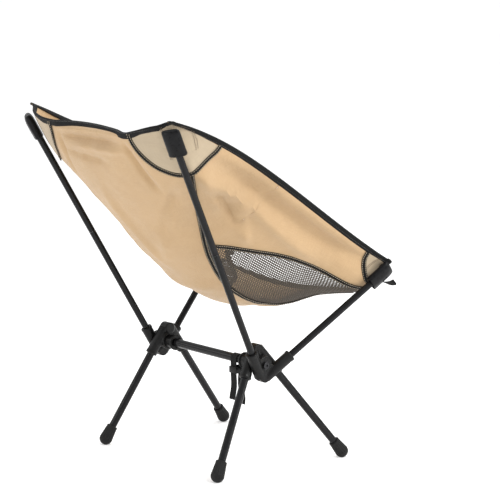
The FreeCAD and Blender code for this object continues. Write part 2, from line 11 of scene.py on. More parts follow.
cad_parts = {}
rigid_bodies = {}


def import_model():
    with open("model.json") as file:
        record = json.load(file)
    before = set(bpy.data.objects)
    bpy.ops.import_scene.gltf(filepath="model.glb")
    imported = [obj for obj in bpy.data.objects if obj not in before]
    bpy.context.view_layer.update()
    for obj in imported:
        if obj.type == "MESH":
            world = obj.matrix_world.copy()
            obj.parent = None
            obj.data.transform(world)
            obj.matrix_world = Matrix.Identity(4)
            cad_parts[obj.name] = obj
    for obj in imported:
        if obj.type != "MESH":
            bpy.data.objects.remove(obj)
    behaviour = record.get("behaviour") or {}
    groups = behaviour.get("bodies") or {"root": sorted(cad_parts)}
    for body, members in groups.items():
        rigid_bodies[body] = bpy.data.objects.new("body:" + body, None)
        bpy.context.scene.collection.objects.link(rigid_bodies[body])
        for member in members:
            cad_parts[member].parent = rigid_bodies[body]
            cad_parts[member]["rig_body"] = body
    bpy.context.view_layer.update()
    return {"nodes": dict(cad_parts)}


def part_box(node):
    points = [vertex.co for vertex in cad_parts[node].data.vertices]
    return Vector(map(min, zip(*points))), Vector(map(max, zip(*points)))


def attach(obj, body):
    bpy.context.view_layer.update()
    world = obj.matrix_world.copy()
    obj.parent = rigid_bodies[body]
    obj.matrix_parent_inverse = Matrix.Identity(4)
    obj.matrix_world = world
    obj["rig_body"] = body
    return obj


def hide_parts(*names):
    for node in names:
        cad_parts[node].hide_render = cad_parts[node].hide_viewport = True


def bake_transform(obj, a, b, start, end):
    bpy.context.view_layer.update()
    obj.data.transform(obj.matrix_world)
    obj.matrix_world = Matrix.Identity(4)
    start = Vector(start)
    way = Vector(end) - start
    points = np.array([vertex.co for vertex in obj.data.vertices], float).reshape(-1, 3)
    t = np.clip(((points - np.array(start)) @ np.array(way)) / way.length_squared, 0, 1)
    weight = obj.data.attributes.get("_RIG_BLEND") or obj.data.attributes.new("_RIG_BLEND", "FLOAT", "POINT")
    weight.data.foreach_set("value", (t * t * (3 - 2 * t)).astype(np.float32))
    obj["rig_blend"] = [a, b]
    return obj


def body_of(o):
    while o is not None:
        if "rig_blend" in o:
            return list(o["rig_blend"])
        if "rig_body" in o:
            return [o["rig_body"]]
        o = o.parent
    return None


bl_info = {
    "name": "Camp Chair Dressing",
    "version": (1, 0, 0),
    "blender": (4, 2, 0),
    "location": "View3D > Sidebar > Camp Chair",
    "description": "Builds the cloth, tubes and fittings of a folding camp chair round its frame",
    "category": "Object",
}

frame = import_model()

SIDES = {"right": -1, "left": 1}
ENDS = ("back", "front")

# ---------------------------------------------------------------- sizes shared with the frame, in metres

HUB_HEIGHT = 0.1963
HUB_BACK = -0.00664
BAR_RADIUS, BAR_HALF = 0.008, 0.124
COLLAR_START, COLLAR_END, COLLAR_RADIUS, COLLAR_FLANGE, FLANGE_LENGTH = 0.103, 0.1242, 0.0125, 0.015, 0.004
LEG_APEX_SIDE, LEG_APEX_RISE = 0.134, 0.034
POLE_APEX_SIDE, POLE_APEX_DROP = 0.154, 0.0303
SOCKET_DEPTH = 0.030
LEG_SOCKET = {"back": 0.067, "front": 0.074}
POLE_SOCKET = {"back": 0.064, "front": 0.072}
FOOT_SIDE = {"back": 0.1745, "front": 0.1795}
FOOT_REACH = {"back": 0.118, "front": -0.1745}
FOOT_BALL, FOOT_SOLE_DROP, FOOT_TOP, FOOT_LENGTH, FOOT_FLOOR = 0.0126, 0.012, 0.010, 0.027, 0.003
LEG_RADIUS, LEG_WALL, PLUG_FLANGE, PLUG_LENGTH = 0.0072, 0.0009, 0.0012, 0.016
TIP_SIDE = {"back": 0.2215, "front": 0.2423}
TIP_REACH = {"back": 0.2537, "front": -0.2296}
TIP_HEIGHT = {"back": 0.6370, "front": 0.3622}
POLE_RADIUS, POLE_WALL = 0.0063, 0.0008
BACK_JOINT, JOINT_GAP, FERRULE_LENGTH = 0.285, 0.0002, 0.056
TIP_RADIUS, TIP_LENGTH, TIP_ROUND, TIP_PLUG = 0.0067, 0.009, 0.003, 0.014
CORD_RADIUS, CORD_BEND, CORD_HOLE, KNOT_RADIUS, CORD_END_GAP = 0.0014, 0.009, 0.0022, 0.003, 0.006
STRAP_PLACE, STRAP_WIDTH, STRAP_THICKNESS, STRAP_GAP = 0.084, 0.016, 0.0015, 0.0004
STRAP_TAILS = (0.076, 0.088)

# the sling's outline: its side edges, its middle line and how square its section is
EDGE_SIDE = (0.2185, 0.2440)
EDGE_BOW = 0.0105
EDGE_REACH = (HUB_BACK + 0.2505, HUB_BACK - 0.2375)
EDGE_HEIGHT = (0.6540, 0.3735)
EDGE_RISE = (0.0643, 0.0048)
MIDDLE_REACH = (EDGE_REACH[0] + 0.0060, HUB_BACK + 0.2981, HUB_BACK - 0.0100, HUB_BACK - 0.1959)
MIDDLE_HEIGHT = (0.6400, 0.5575, 0.1547, 0.3067)
BELLY = (2.4, 2.1, 2.4)
SEAM = (0.97, 1.09, -0.33, 0.72)
MESH_START, MESH_RISE = 0.50, 0.44
BACK_PATCH = (0.86, 0.335, 0.240)
FRONT_PATCH = (1.0, 0.20, 0.085)
BOOT_WIDE, BOOT_THIN, BOOT_DEPTH = 0.0168, 0.0094, 0.044

# how the layers of the sling lie on the cloth, and their thicknesses
TAPE_THICKNESS, PATCH_THICKNESS, PATCH_LIFT = 0.0008, 0.0010, 0.0011
SEAM_TAPE_LIFT, INSIDE_TAPE_LIFT, PATCH_TAPE_LIFT = 0.0011, -0.0014, 0.0022
SEAM_STITCH_LIFT, EDGE_STITCH_LIFT, PATCH_STITCH_LIFT, POCKET_STITCH_LIFT = 0.0022, 0.0021, 0.0033, 0.0020
STITCH_ROW = 0.32
PANEL_EDGE = 0.006
POCKET_STITCH_ROWS = (-0.0215, -0.0190, 0.0190, 0.0215)
POCKET_WEAVE = 0.0009
LAMPS = (
    ("softbox_key", (-2.7, -0.2, 2.9), 0.9, 78),
    ("softbox_fill", (2.4, 2.2, 1.9), 1.6, 14),
    ("softbox_top", (0.4, -1.2, 3.2), 1.4, 42),
    ("strip_left", (-2.6, -1.5, 1.0), 0.25, 18),
    ("strip_right", (0.4, 3.3, 1.0), 0.25, 18),
)
LAMP_HEIGHT, LAMPS_LOOK_AT, SKY_STRENGTH = 1.4, Vector((0, 0, 0.35)), 0.78

# where the sling bends as one corner is pulled off its pole: direction, first and last distance
BACK_SLIP = (Vector((0.70, 0.35, 0.62)), 0.487, 0.560)
FRONT_SLIP = (Vector((0.75, -0.65, 0.10)), 0.225, 0.320)


def hub_point(side, offset, rise=0.0):
    return Vector((side * offset, HUB_BACK, HUB_HEIGHT + rise))


class Arm:
    """One tube axis, from its yoke's apex to a foot or a pole tip."""

    def __init__(self, apex, end):
        self.apex = apex
        self.length = (end - apex).length
        self.direction = (end - apex).normalized()

    def at(self, distance):
        return self.apex + self.direction * distance


def leg_arm(side, end):
    ball = Vector((side * FOOT_SIDE[end], HUB_BACK + FOOT_REACH[end], FOOT_SOLE_DROP))
    return Arm(hub_point(side, LEG_APEX_SIDE, LEG_APEX_RISE), ball)


def pole_arm(side, end):
    tip = Vector((side * TIP_SIDE[end], HUB_BACK + TIP_REACH[end], TIP_HEIGHT[end]))
    return Arm(hub_point(side, POLE_APEX_SIDE, -POLE_APEX_DROP), tip)


# ---------------------------------------------------------------- the sling's surface


def bezier(controls, share):
    rest = 1 - share
    return (rest**3 * controls[0] + 3 * rest * rest * share * controls[1]
            + 3 * rest * share * share * controls[2] + share**3 * controls[3])


def mix(low, high, share):
    return low + (high - low) * share


def sling_surface(across, share):
    """Points of the smooth sling; across runs from -1 to 1 and share from the back edge to the front."""
    across, share = np.broadcast_arrays(np.asarray(across, float), np.asarray(share, float))
    edge_x = mix(EDGE_SIDE[0], EDGE_SIDE[1], share) - EDGE_BOW * 4 * share * (1 - share)
    edge_y = mix(EDGE_REACH[0], EDGE_REACH[1], share)
    drop = (EDGE_HEIGHT[1] - EDGE_HEIGHT[0]) / 3
    edge_z = bezier((EDGE_HEIGHT[0], EDGE_HEIGHT[0] + drop + EDGE_RISE[0],
                     EDGE_HEIGHT[1] - drop + EDGE_RISE[1], EDGE_HEIGHT[1]), share)
    middle_y, middle_z = bezier(MIDDLE_REACH, share), bezier(MIDDLE_HEIGHT, share)
    rest = 1 - share
    power = rest**2 * BELLY[0] + 2 * rest * share * BELLY[1] + share**2 * BELLY[2]
    depth = 1 - np.abs(across) ** power
    return np.stack([edge_x * across, mix(edge_y, middle_y, depth), mix(edge_z, middle_z, depth)], -1)


def unit(vectors):
    return vectors / np.maximum(np.linalg.norm(vectors, axis=-1, keepdims=True), 1e-9)


def sling_outward(across, share):
    """The direction away from the sitter."""
    across, share = np.asarray(across, float), np.asarray(share, float)
    step = 0.004
    sideways = sling_surface(across + step, share) - sling_surface(across - step, share)
    forward = sling_surface(across, np.minimum(share + step, 1)) - sling_surface(across, np.maximum(share - step, 0))
    return unit(np.cross(sideways, forward))


def ridge(across, share, start, end, width, height):
    """One soft fold in the cloth between two places, higher outward; a negative height is a valley."""
    scale = np.array([0.33, 0.62])
    spot = np.stack(np.broadcast_arrays(across, share), -1) * scale
    first, last = np.array(start) * scale, np.array(end) * scale
    line = last - first
    length = np.linalg.norm(line)
    way = np.clip(((spot - first) @ line) / length**2, -0.25, 1.25)
    off = np.linalg.norm(spot - first - way[..., None] * line, axis=-1)
    fade = np.clip(np.minimum(way + 0.25, 1.25 - way) / 0.45, 0, 1)
    fade = fade * fade * (3 - 2 * fade)
    return height * fade * np.exp(-((off / width) ** 2))


# folds as (start, end, width, height); places are (across, share), for the side given by the sign of across
FOLDS = (
    # wing on the right: the long valley below the edge and the ridges beside it
    ((-0.900, 0.30), (-0.915, 0.82), 0.0124, -0.0131),
    ((-0.965, 0.26), (-0.970, 0.86), 0.0088, 0.0072),
    ((-0.845, 0.36), (-0.820, 0.74), 0.0091, 0.0096),
    ((-0.790, 0.37), (-0.735, 0.52), 0.0088, -0.0089),
    ((-0.850, 0.29), (-0.740, 0.42), 0.0088, 0.0080),
    ((-0.800, 0.46), (-0.690, 0.56), 0.0088, 0.0085),
    # wing on the left
    ((0.905, 0.32), (0.900, 0.78), 0.0110, -0.0114),
    ((0.835, 0.38), (0.800, 0.70), 0.0093, 0.0088),
    ((0.770, 0.40), (0.720, 0.55), 0.0088, -0.0085),
    # ripples along the top of the backrest, between the patches
    ((-0.36, 0.040), (0.30, 0.048), 0.0088, 0.0053),
    ((-0.30, 0.085), (0.36, 0.080), 0.0088, -0.0062),
    ((-0.34, 0.125), (0.20, 0.118), 0.0088, 0.0053),
    ((-0.10, 0.170), (0.38, 0.150), 0.0088, -0.0053),
    # slack beside the patches and down the back
    ((-0.44, 0.10), (-0.52, 0.27), 0.0093, -0.0072),
    ((0.44, 0.10), (0.52, 0.27), 0.0093, -0.0072),
    ((-0.62, 0.31), (-0.30, 0.42), 0.0127, -0.0080),
    ((-0.50, 0.36), (-0.10, 0.50), 0.0153, 0.0072),
    ((0.55, 0.30), (0.30, 0.45), 0.0136, -0.0080),
    ((0.62, 0.34), (0.40, 0.56), 0.0119, 0.0076),
    ((0.10, 0.30), (-0.05, 0.52), 0.0187, 0.0062),
    ((-0.25, 0.62), (0.28, 0.60), 0.0170, 0.0057),
    ((-0.30, 0.80), (0.10, 0.83), 0.0136, -0.0057),
)
TOP_EDGE_HUMP = ((-1.05, -0.46), 0.0050)
TOP_EDGE_DIP = ((-0.58, -0.34), -0.0018)
FAR_RISE = 0.008
# how the cloth is drawn out to the pockets: rest gap, sideways reach, and where it lets go along the pole
POCKET_DRAW = {"back": (0.0112, 0.110, 0.055, 0.250), "front": (0.0112, 0.055, 0.045, 0.130)}
BLOTCHES = 0.0016


def bump(value, span, height):
    """A smooth rise and fall between the two ends of a span."""
    way = np.clip((value - span[0]) / (span[1] - span[0]), 0, 1)
    return height * np.sin(math.pi * way) ** 2


def sling_folds(across, share):
    """How far the cloth stands out from the smooth sling."""
    across, share = np.broadcast_arrays(np.asarray(across, float), np.asarray(share, float))
    lift = sum(ridge(across, share, *fold) for fold in FOLDS)
    spots = sling_surface(across, share).reshape(-1, 3)
    soft = np.array([noise.noise(Vector(spot) * 17) + 0.5 * noise.noise(Vector(spot) * 41) for spot in spots])
    inner = np.clip((1 - np.abs(across)) / 0.06, 0, 1) * np.clip(np.minimum(share, 1 - share) / 0.03, 0, 1)
    return (lift + soft.reshape(across.shape) * BLOTCHES) * inner


def pocket_facing(side, end):
    """The way a pocket's broad outer face looks."""
    direction = pole_arm(side, end).direction
    outward = Vector(sling_outward(side * 0.9, 0.06 if end == "back" else 0.95))
    beside = outward.cross(direction).normalized()
    return direction.cross(beside).normalized(), beside


def pocket_draw(spots, across):
    """How far the cloth is drawn outward so that it lies against the pockets on the pole ends."""
    drawn = np.zeros(spots.shape)
    inside = np.clip((1 - np.abs(across)) / 0.16, 0, 1)
    inside = inside * inside * (3 - 2 * inside)
    for side in SIDES.values():
        for end in ENDS:
            arm = pole_arm(side, end)
            rest, wide, full, gone = POCKET_DRAW[end]
            facing = np.array(pocket_facing(side, end)[0])
            away = spots - np.array(arm.at(arm.length))
            along = away @ np.array(arm.direction)
            away = away - along[..., None] * np.array(arm.direction)
            gap = -(away @ facing)
            beside = np.linalg.norm(away + gap[..., None] * facing, axis=-1)
            hold = np.clip((along + gone) / (gone - full), 0, 1)
            hold = hold * hold * (3 - 2 * hold) * np.exp(-((beside / wide) ** 2))
            drawn += facing * (np.clip(gap - rest, 0, 0.05) * hold * inside)[..., None]
    return drawn


def sling_spot(across, share, lift=0.0):
    """Points on the folded cloth, raised outward by a lift."""
    across, share = np.broadcast_arrays(np.asarray(across, float), np.asarray(share, float))
    outward = sling_outward(across, share)
    spots = sling_surface(across, share)
    spots += pocket_draw(spots, across) + outward * (sling_folds(across, share) + lift)[..., None]
    top = np.clip(1 - share / 0.16, 0, 1) ** 1.5
    far = np.clip((across + 0.35) / 1.1, 0, 1)
    far = far * far * (3 - 2 * far)
    spots[..., 2] += (bump(across, *TOP_EDGE_HUMP) + bump(across, *TOP_EDGE_DIP) + FAR_RISE * far) * top
    return spots


def seam_across(share):
    """Where a wing is sewn to the middle panel."""
    return bezier(SEAM, share)


def mesh_across(share):
    """Where the netting is sewn to a wing."""
    way = np.clip((np.asarray(share, float) - MESH_START) / (1 - MESH_START), 0, 1)
    return seam_across(share) + MESH_RISE * np.sin(math.pi * way) ** 0.8


def inset(across, share, distance):
    """A place moved sideways along the sling by a length."""
    step = 0.01
    reach = np.linalg.norm(sling_surface(across + step, share) - sling_surface(across - step, share), axis=-1)
    return across + distance / (reach / (2 * step))


def middle_length():
    line = sling_surface(0.0, np.linspace(0, 1, 41))
    return float(np.linalg.norm(np.diff(line, axis=0), axis=1).sum())


SLING_LENGTH = middle_length()


# ---------------------------------------------------------------- settings


class ClothSettings(bpy.types.PropertyGroup):
    cloth_thickness: bpy.props.FloatProperty(
        name="Cloth thickness", description="Thickness of the sling's cloth", default=0.0009, unit="LENGTH")
    cloth_spacing: bpy.props.FloatProperty(
        name="Cloth spacing", description="Distance between points of the cloth's grid", default=0.0032, unit="LENGTH")
    weave_pitch: bpy.props.FloatProperty(
        name="Weave pitch", description="Distance between two threads", default=0.0011, unit="LENGTH")
    tape_width: bpy.props.FloatProperty(
        name="Tape width", description="Width of the tape over the seams", default=0.0092, unit="LENGTH")
    binding_width: bpy.props.FloatProperty(
        name="Binding width", description="Width of the tape folded over the edges", default=0.012, unit="LENGTH")
    stitch_pitch: bpy.props.FloatProperty(
        name="Stitch pitch", description="Distance between two stitches", default=0.0040, unit="LENGTH")
    netting_pitch: bpy.props.FloatProperty(
        name="Netting pitch", description="Distance between two holes of the netting", default=0.0047, unit="LENGTH")
    netting_strand: bpy.props.FloatProperty(
        name="Netting strand", description="Width of one strand of the netting", default=0.0018, unit="LENGTH")
    cloth_colour: bpy.props.FloatVectorProperty(
        name="Cloth colour", description="Colour of the wings and the middle panel", subtype="COLOR",
        default=(0.520, 0.352, 0.190))
    cloth_shade: bpy.props.FloatVectorProperty(
        name="Cloth shade", description="Darker threads of the same cloth", subtype="COLOR",
        default=(0.435, 0.283, 0.142))
    canvas_colour: bpy.props.FloatVectorProperty(
        name="Canvas colour", description="Colour of the corner patches", subtype="COLOR",
        default=(0.470, 0.375, 0.255))
    thread_colour: bpy.props.FloatVectorProperty(
        name="Thread colour", description="Colour of the stitching", subtype="COLOR",
        default=(0.62, 0.50, 0.34))
    netting_colour: bpy.props.FloatVectorProperty(
        name="Netting colour", description="Colour of the netting", subtype="COLOR",
        default=(0.045, 0.037, 0.029))


class FrameSettings(bpy.types.PropertyGroup):
    tube_sides: bpy.props.IntProperty(
        name="Tube sides", description="Facets round a tube", default=48, min=12)
    yoke_grain: bpy.props.FloatProperty(
        name="Yoke grain", description="Size of the smallest rounding on the moulded yokes", default=0.0009,
        unit="LENGTH")
    tube_colour: bpy.props.FloatVectorProperty(
        name="Tube colour", description="Colour of the coated tubes", subtype="COLOR", default=(0.005, 0.005, 0.0055))
    plastic_colour: bpy.props.FloatVectorProperty(
        name="Plastic colour", description="Colour of the hubs and end caps", subtype="COLOR",
        default=(0.005, 0.005, 0.005))
    rubber_colour: bpy.props.FloatVectorProperty(
        name="Rubber colour", description="Colour of the feet", subtype="COLOR", default=(0.006, 0.006, 0.006))
    webbing_colour: bpy.props.FloatVectorProperty(
        name="Webbing colour", description="Colour of the tapes, tabs and strap", subtype="COLOR",
        default=(0.005, 0.005, 0.005))


class StageSettings(bpy.types.PropertyGroup):
    lens: bpy.props.FloatProperty(
        name="Lens", description="Focal length of the camera in millimetres", default=135.9)
    camera_place: bpy.props.FloatVectorProperty(
        name="Camera place", description="Where the camera stands", subtype="XYZ", unit="LENGTH",
        default=(-2.75434, 2.13312, 0.91127))
    camera_turn: bpy.props.FloatVectorProperty(
        name="Camera turn", description="Pitch and heading of the camera", size=2, subtype="NONE", unit="ROTATION",
        default=(-0.14996, 2.24371))
    camera_shift: bpy.props.FloatVectorProperty(
        name="Camera shift", description="Sideways and upward shift of the lens", size=2, default=(0.0348, 0.0048))
    floor_size: bpy.props.FloatProperty(
        name="Floor size", description="Width of the floor", default=260.0, unit="LENGTH")


# ---------------------------------------------------------------- materials


class Finish:
    """A material under construction: its principled shader and short ways to add nodes."""

    def __init__(self, name, colour, roughness, **sockets):
        self.material = bpy.data.materials.new(name)
        self.material.use_nodes = True
        self.nodes = self.material.node_tree.nodes
        self.links = self.material.node_tree.links
        self.shader = self.nodes["Principled BSDF"]
        self.shader.inputs["Base Color"].default_value = (*colour, 1)
        self.shader.inputs["Roughness"].default_value = roughness
        for socket, value in sockets.items():
            self.shader.inputs[socket.replace("_", " ")].default_value = value

    def node(self, kind, inputs=(), **settings):
        made = self.nodes.new(kind)
        for key, value in settings.items():
            setattr(made, key, value)
        for socket, value in dict(inputs).items():
            if isinstance(value, bpy.types.NodeSocket):
                self.links.new(value, made.inputs[socket])
            else:
                made.inputs[socket].default_value = value
        return made

    def sum(self, operation, *values):
        return self.node("ShaderNodeMath", dict(enumerate(values)), operation=operation).outputs[0]

    def places(self, kind="Object"):
        return self.node("ShaderNodeTexCoord").outputs[kind]

    def noise(self, vector, scale, detail=3.0, rough=0.5):
        return self.node("ShaderNodeTexNoise", {"Vector": vector, "Scale": scale, "Detail": detail,
                                                "Roughness": rough}).outputs["Fac"]

    def stretched(self, vector, scale):
        return self.node("ShaderNodeMapping", {"Vector": vector, "Scale": scale}).outputs[0]

    def blend(self, share, first, second):
        made = self.node("ShaderNodeMix", {0: share}, data_type="RGBA")
        for socket, value in ((6, first), (7, second)):
            if isinstance(value, bpy.types.NodeSocket):
                self.links.new(value, made.inputs[socket])
            else:
                made.inputs[socket].default_value = (*value, 1)
        return made.outputs[2]

    def fit(self, value, low, high):
        """A noise value stretched from its usual middle band to the range low to high."""
        return self.node("ShaderNodeMapRange", {0: value, 1: 0.3, 2: 0.7, 3: low, 4: high}).outputs[0]

    def relief(self, height, depth, strength=1.0):
        made = self.node("ShaderNodeBump", {"Height": height, "Distance": depth, "Strength": strength})
        self.links.new(made.outputs[0], self.shader.inputs["Normal"])
        return made

    def into(self, value, socket):
        self.links.new(value, self.shader.inputs[socket])


def threads(finish, pitch):
    """The raised threads of a plain weave, on the piece's own flat layout in metres; also each direction's slubs."""
    flat = finish.places("UV")
    steps = finish.stretched(flat, (1 / pitch, 1 / pitch, 1))
    parts = finish.node("ShaderNodeSeparateXYZ", {0: steps})
    waves = [finish.sum("SINE", finish.sum("MULTIPLY", parts.outputs[axis], math.tau)) for axis in (0, 1)]
    weave = finish.sum("MULTIPLY_ADD", finish.sum("MULTIPLY", *waves), 0.5, 0.5)
    warp = finish.noise(finish.stretched(flat, (1 / pitch, 0.06 / pitch, 1)), 1.0, 2.0)
    weft = finish.noise(finish.stretched(flat, (0.06 / pitch, 1 / pitch, 1)), 1.0, 2.0)
    return weave, finish.sum("ADD", warp, weft)


def woven_cloth(name, colour, shade, pitch, roughness, **sockets):
    """Plain-woven cloth: two near colours in its threads, soft blotches, painted shade in the weave's hollows and a
    fine relief.
    """
    finish = Finish(name, colour, roughness, **sockets)
    weave, slubs = threads(finish, pitch)
    blotch = finish.noise(finish.places(), 9.0, 4.0, 0.6)
    slub = finish.node("ShaderNodeMapRange", {0: slubs, 1: 0.75, 2: 1.25}).outputs[0]
    tone = finish.blend(slub, shade, colour)
    pale = tuple(min(1.0, part * 1.10) for part in colour)
    worn = finish.blend(finish.fit(blotch, 0.0, 0.55), tone, pale)
    # painted shade: a darker copy of the thread colour is laid where the weave dips, standing in for the shade between
    # the threads
    weave_hollow_shade = tuple(part * 0.62 for part in shade)
    finish.into(finish.blend(finish.sum("MULTIPLY", finish.sum("SUBTRACT", 1.0, weave), 0.42), worn, weave_hollow_shade),
                "Base Color")
    finish.relief(finish.sum("MULTIPLY_ADD", slubs, 0.4, weave), 0.00022, 0.8)
    return finish.material


def ribbed_webbing(name, colour, pitch):
    """Narrow black webbing with ribs across it and a faint herringbone."""
    finish = Finish(name, colour, 0.72, Sheen_Weight=0.06, Sheen_Roughness=0.5, Specular_IOR_Level=0.08)
    parts = finish.node("ShaderNodeSeparateXYZ", {0: finish.stretched(finish.places("UV"), (1 / pitch, 1 / pitch, 1))})
    rib = finish.sum("SINE", finish.sum("MULTIPLY", parts.outputs[1], math.tau))
    slant = finish.sum("SINE", finish.sum("MULTIPLY", finish.sum("ADD", parts.outputs[0], parts.outputs[1]), math.tau))
    relief = finish.sum("MULTIPLY_ADD", slant, 0.35, rib)
    fluff = finish.noise(finish.places(), 900.0, 2.0)
    light = tuple(min(1.0, part * 2.0 + 0.003) for part in colour)
    finish.into(finish.blend(finish.fit(fluff, 0.0, 0.6), colour, light), "Base Color")
    finish.relief(relief, 0.00018, 0.7)
    return finish.material


def twisted_thread(name, colour):
    finish = Finish(name, colour, 0.55, Sheen_Weight=0.3)
    twist = finish.noise(finish.places(), 1600.0, 2.0)
    dark = tuple(part * 0.55 for part in colour)
    finish.into(finish.blend(finish.fit(twist, 0.0, 1.0), dark, colour), "Base Color")
    finish.relief(twist, 0.0001, 0.6)
    return finish.material


def knitted_netting(name, colour):
    finish = Finish(name, colour, 0.70, Sheen_Weight=0.05, Specular_IOR_Level=0.12)
    knit = finish.noise(finish.places(), 1300.0, 2.0)
    light = tuple(min(1.0, part * 2.4 + 0.01) for part in colour)
    finish.into(finish.blend(finish.fit(knit, 0.0, 1.0), colour, light), "Base Color")
    finish.relief(knit, 0.0002, 0.8)
    return finish.material


def coated_pocket(name, colour):
    """Smooth black coated cloth with a soft gloss and small creases."""
    finish = Finish(name, colour, 0.34, Coat_Weight=0.10, Coat_Roughness=0.10, Specular_IOR_Level=0.08)
    weave, _ = threads(finish, POCKET_WEAVE)
    crease = finish.noise(finish.places(), 140.0, 3.0)
    finish.into(finish.fit(crease, 0.24, 0.42), "Roughness")
    light = tuple(min(1.0, part * 2.0 + 0.002) for part in colour)
    finish.into(finish.blend(finish.fit(crease, 0.0, 0.7), colour, light), "Base Color")
    finish.relief(finish.sum("MULTIPLY_ADD", weave, 0.12, crease), 0.0006, 0.5)
    return finish.material


def coated_tube(name, colour):
    """Anodised tube: satin black with a faint fine grain and small rubs."""
    finish = Finish(name, colour, 0.20, Specular_IOR_Level=0.17)
    place = finish.places()
    rub = finish.noise(place, 55.0, 5.0, 0.65)
    fine = finish.noise(place, 900.0, 2.0)
    finish.into(finish.fit(rub, 0.16, 0.26), "Roughness")
    light = tuple(min(1.0, part * 1.9 + 0.002) for part in colour)
    finish.into(finish.blend(finish.fit(rub, 0.0, 0.8), colour, light), "Base Color")
    finish.relief(fine, 0.00004, 0.35)
    return finish.material


def moulded_plastic(name, colour, roughness, grain):
    finish = Finish(name, colour, roughness, Specular_IOR_Level=0.17)
    place = finish.places()
    pores = finish.noise(place, grain, 2.0)
    patch = finish.noise(place, 30.0, 3.0)
    finish.into(finish.fit(patch, roughness - 0.06, roughness + 0.08), "Roughness")
    light = tuple(min(1.0, part * 2.0 + 0.002) for part in colour)
    finish.into(finish.blend(finish.fit(patch, 0.0, 0.8), colour, light), "Base Color")
    finish.relief(pores, 0.00006, 0.5)
    return finish.material


def bright_metal(name, colour, roughness, scale):
    finish = Finish(name, colour, roughness, Metallic=1.0)
    place = finish.places()
    grain = finish.noise(finish.stretched(place, (scale, 6.0, 6.0)), 40.0, 3.0)
    finish.into(finish.fit(grain, roughness - 0.08, roughness + 0.10), "Roughness")
    finish.relief(grain, 0.00003, 0.4)
    return finish.material


def braided_cord(name, colour):
    finish = Finish(name, colour, 0.7, Sheen_Weight=0.3)
    twist = finish.node("ShaderNodeTexWave", {"Vector": finish.places(), "Scale": 500.0, "Distortion": 2.0},
                        bands_direction="DIAGONAL").outputs["Fac"]
    light = tuple(min(1.0, part * 4 + 0.05) for part in colour)
    finish.into(finish.blend(finish.fit(twist, 0.0, 0.5), colour, light), "Base Color")
    finish.relief(twist, 0.0002, 0.7)
    return finish.material


def plain_floor(name):
    finish = Finish(name, (0.86, 0.86, 0.86), 0.5, Specular_IOR_Level=0.25, Emission_Color=(1, 1, 1, 1),
                    Emission_Strength=0.34)
    finish.into(finish.fit(finish.noise(finish.places(), 3.0, 3.0), 0.46, 0.54), "Roughness")
    return finish.material


FINISHES = {}


def make_finishes(cloth, metal):
    FINISHES.update({
        "cloth": woven_cloth("tan_weave", cloth.cloth_colour, cloth.cloth_shade, cloth.weave_pitch, 0.80,
                             Sheen_Weight=0.22, Sheen_Roughness=0.5),
        "canvas": woven_cloth("corner_canvas", cloth.canvas_colour,
                              tuple(part * 0.78 for part in cloth.canvas_colour),
                              cloth.weave_pitch * 1.3, 0.86, Sheen_Weight=0.15),
        "webbing": ribbed_webbing("black_webbing", metal.webbing_colour, 0.0016),
        "thread": twisted_thread("tan_thread", cloth.thread_colour),
        "brown_thread": twisted_thread("brown_thread", (0.16, 0.105, 0.050)),
        "dark_thread": twisted_thread("dark_thread", (0.02, 0.018, 0.016)),
        "netting": knitted_netting("dark_netting", cloth.netting_colour),
        "pocket": coated_pocket("pocket_cloth", (0.004, 0.004, 0.0045)),
        "tube": coated_tube("coated_tube", metal.tube_colour),
        "plastic": moulded_plastic("hub_plastic", metal.plastic_colour, 0.32, 700.0),
        "end_plastic": moulded_plastic("end_plastic", (0.010, 0.010, 0.0105), 0.40, 900.0),
        "rubber": moulded_plastic("foot_rubber", metal.rubber_colour, 0.55, 500.0),
        "steel": bright_metal("screw_steel", (0.035, 0.035, 0.037), 0.30, 6.0),
        "ferrule": bright_metal("bright_ferrule", (0.62, 0.63, 0.65), 0.28, 60.0),
        "cord": braided_cord("shock_cord", (0.03, 0.03, 0.035)),
    })


# ---------------------------------------------------------------- making pieces


def add_piece(name, shape, finish, smooth=True, sharp=50):
    """Turns a finished bmesh into a named piece with its material."""
    for edge in shape.edges:
        if edge.is_boundary or (len(edge.link_faces) == 2 and edge.calc_face_angle(0) > math.radians(sharp)):
            edge.smooth = False
    for face in shape.faces:
        face.smooth = smooth
    mesh = bpy.data.meshes.new(name)
    shape.to_mesh(mesh)
    shape.free()
    mesh.materials.append(FINISHES[finish])
    piece = bpy.data.objects.new(name, mesh)
    bpy.context.scene.collection.objects.link(piece)
    return piece


def lattice(columns, rows):
    """A flat grid; gives the bmesh and each point's two shares, from 0 to 1."""
    shape = bmesh.new()
    bmesh.ops.create_grid(shape, x_segments=columns, y_segments=rows, size=0.5)
    shape.verts.ensure_lookup_table()
    places = np.array([vert.co for vert in shape.verts]) + 0.5
    return shape, places[:, 0], places[:, 1]


def lay_out(shape, spots, columns, rows):
    """Moves a lattice's points to their places and writes a flat layout, in metres, to its UV layer."""
    order = np.array([(round((vert.co.y + 0.5) * rows), round((vert.co.x + 0.5) * columns)) for vert in shape.verts])
    grid = np.zeros((rows + 1, columns + 1, 3))
    grid[order[:, 0], order[:, 1]] = spots
    wide = np.linalg.norm(np.diff(grid, axis=1), axis=2)
    long = np.linalg.norm(np.diff(grid, axis=0), axis=2)
    u = np.concatenate([np.zeros((rows + 1, 1)), wide.cumsum(1)], 1)
    u -= u[:, [columns // 2]]
    v = np.concatenate([np.zeros((1, columns + 1)), long.cumsum(0)], 0)
    middle = v[:, [columns // 2]]
    v = np.broadcast_to(middle, v.shape)
    for vert, spot in zip(shape.verts, spots):
        vert.co = Vector(spot)
    layer = shape.loops.layers.uv.new("flat")
    for face in shape.faces:
        for loop in face.loops:
            row, column = order[loop.vert.index]
            loop[layer].uv = (u[row, column], v[row, column])
    cross = np.linalg.norm(np.cross(grid[1:, :-1] - grid[:-1, :-1], grid[:-1, 1:] - grid[:-1, :-1]), axis=2)
    return float(wide.sum(1).max()), float(long.sum(0).max()), float(cross.sum())


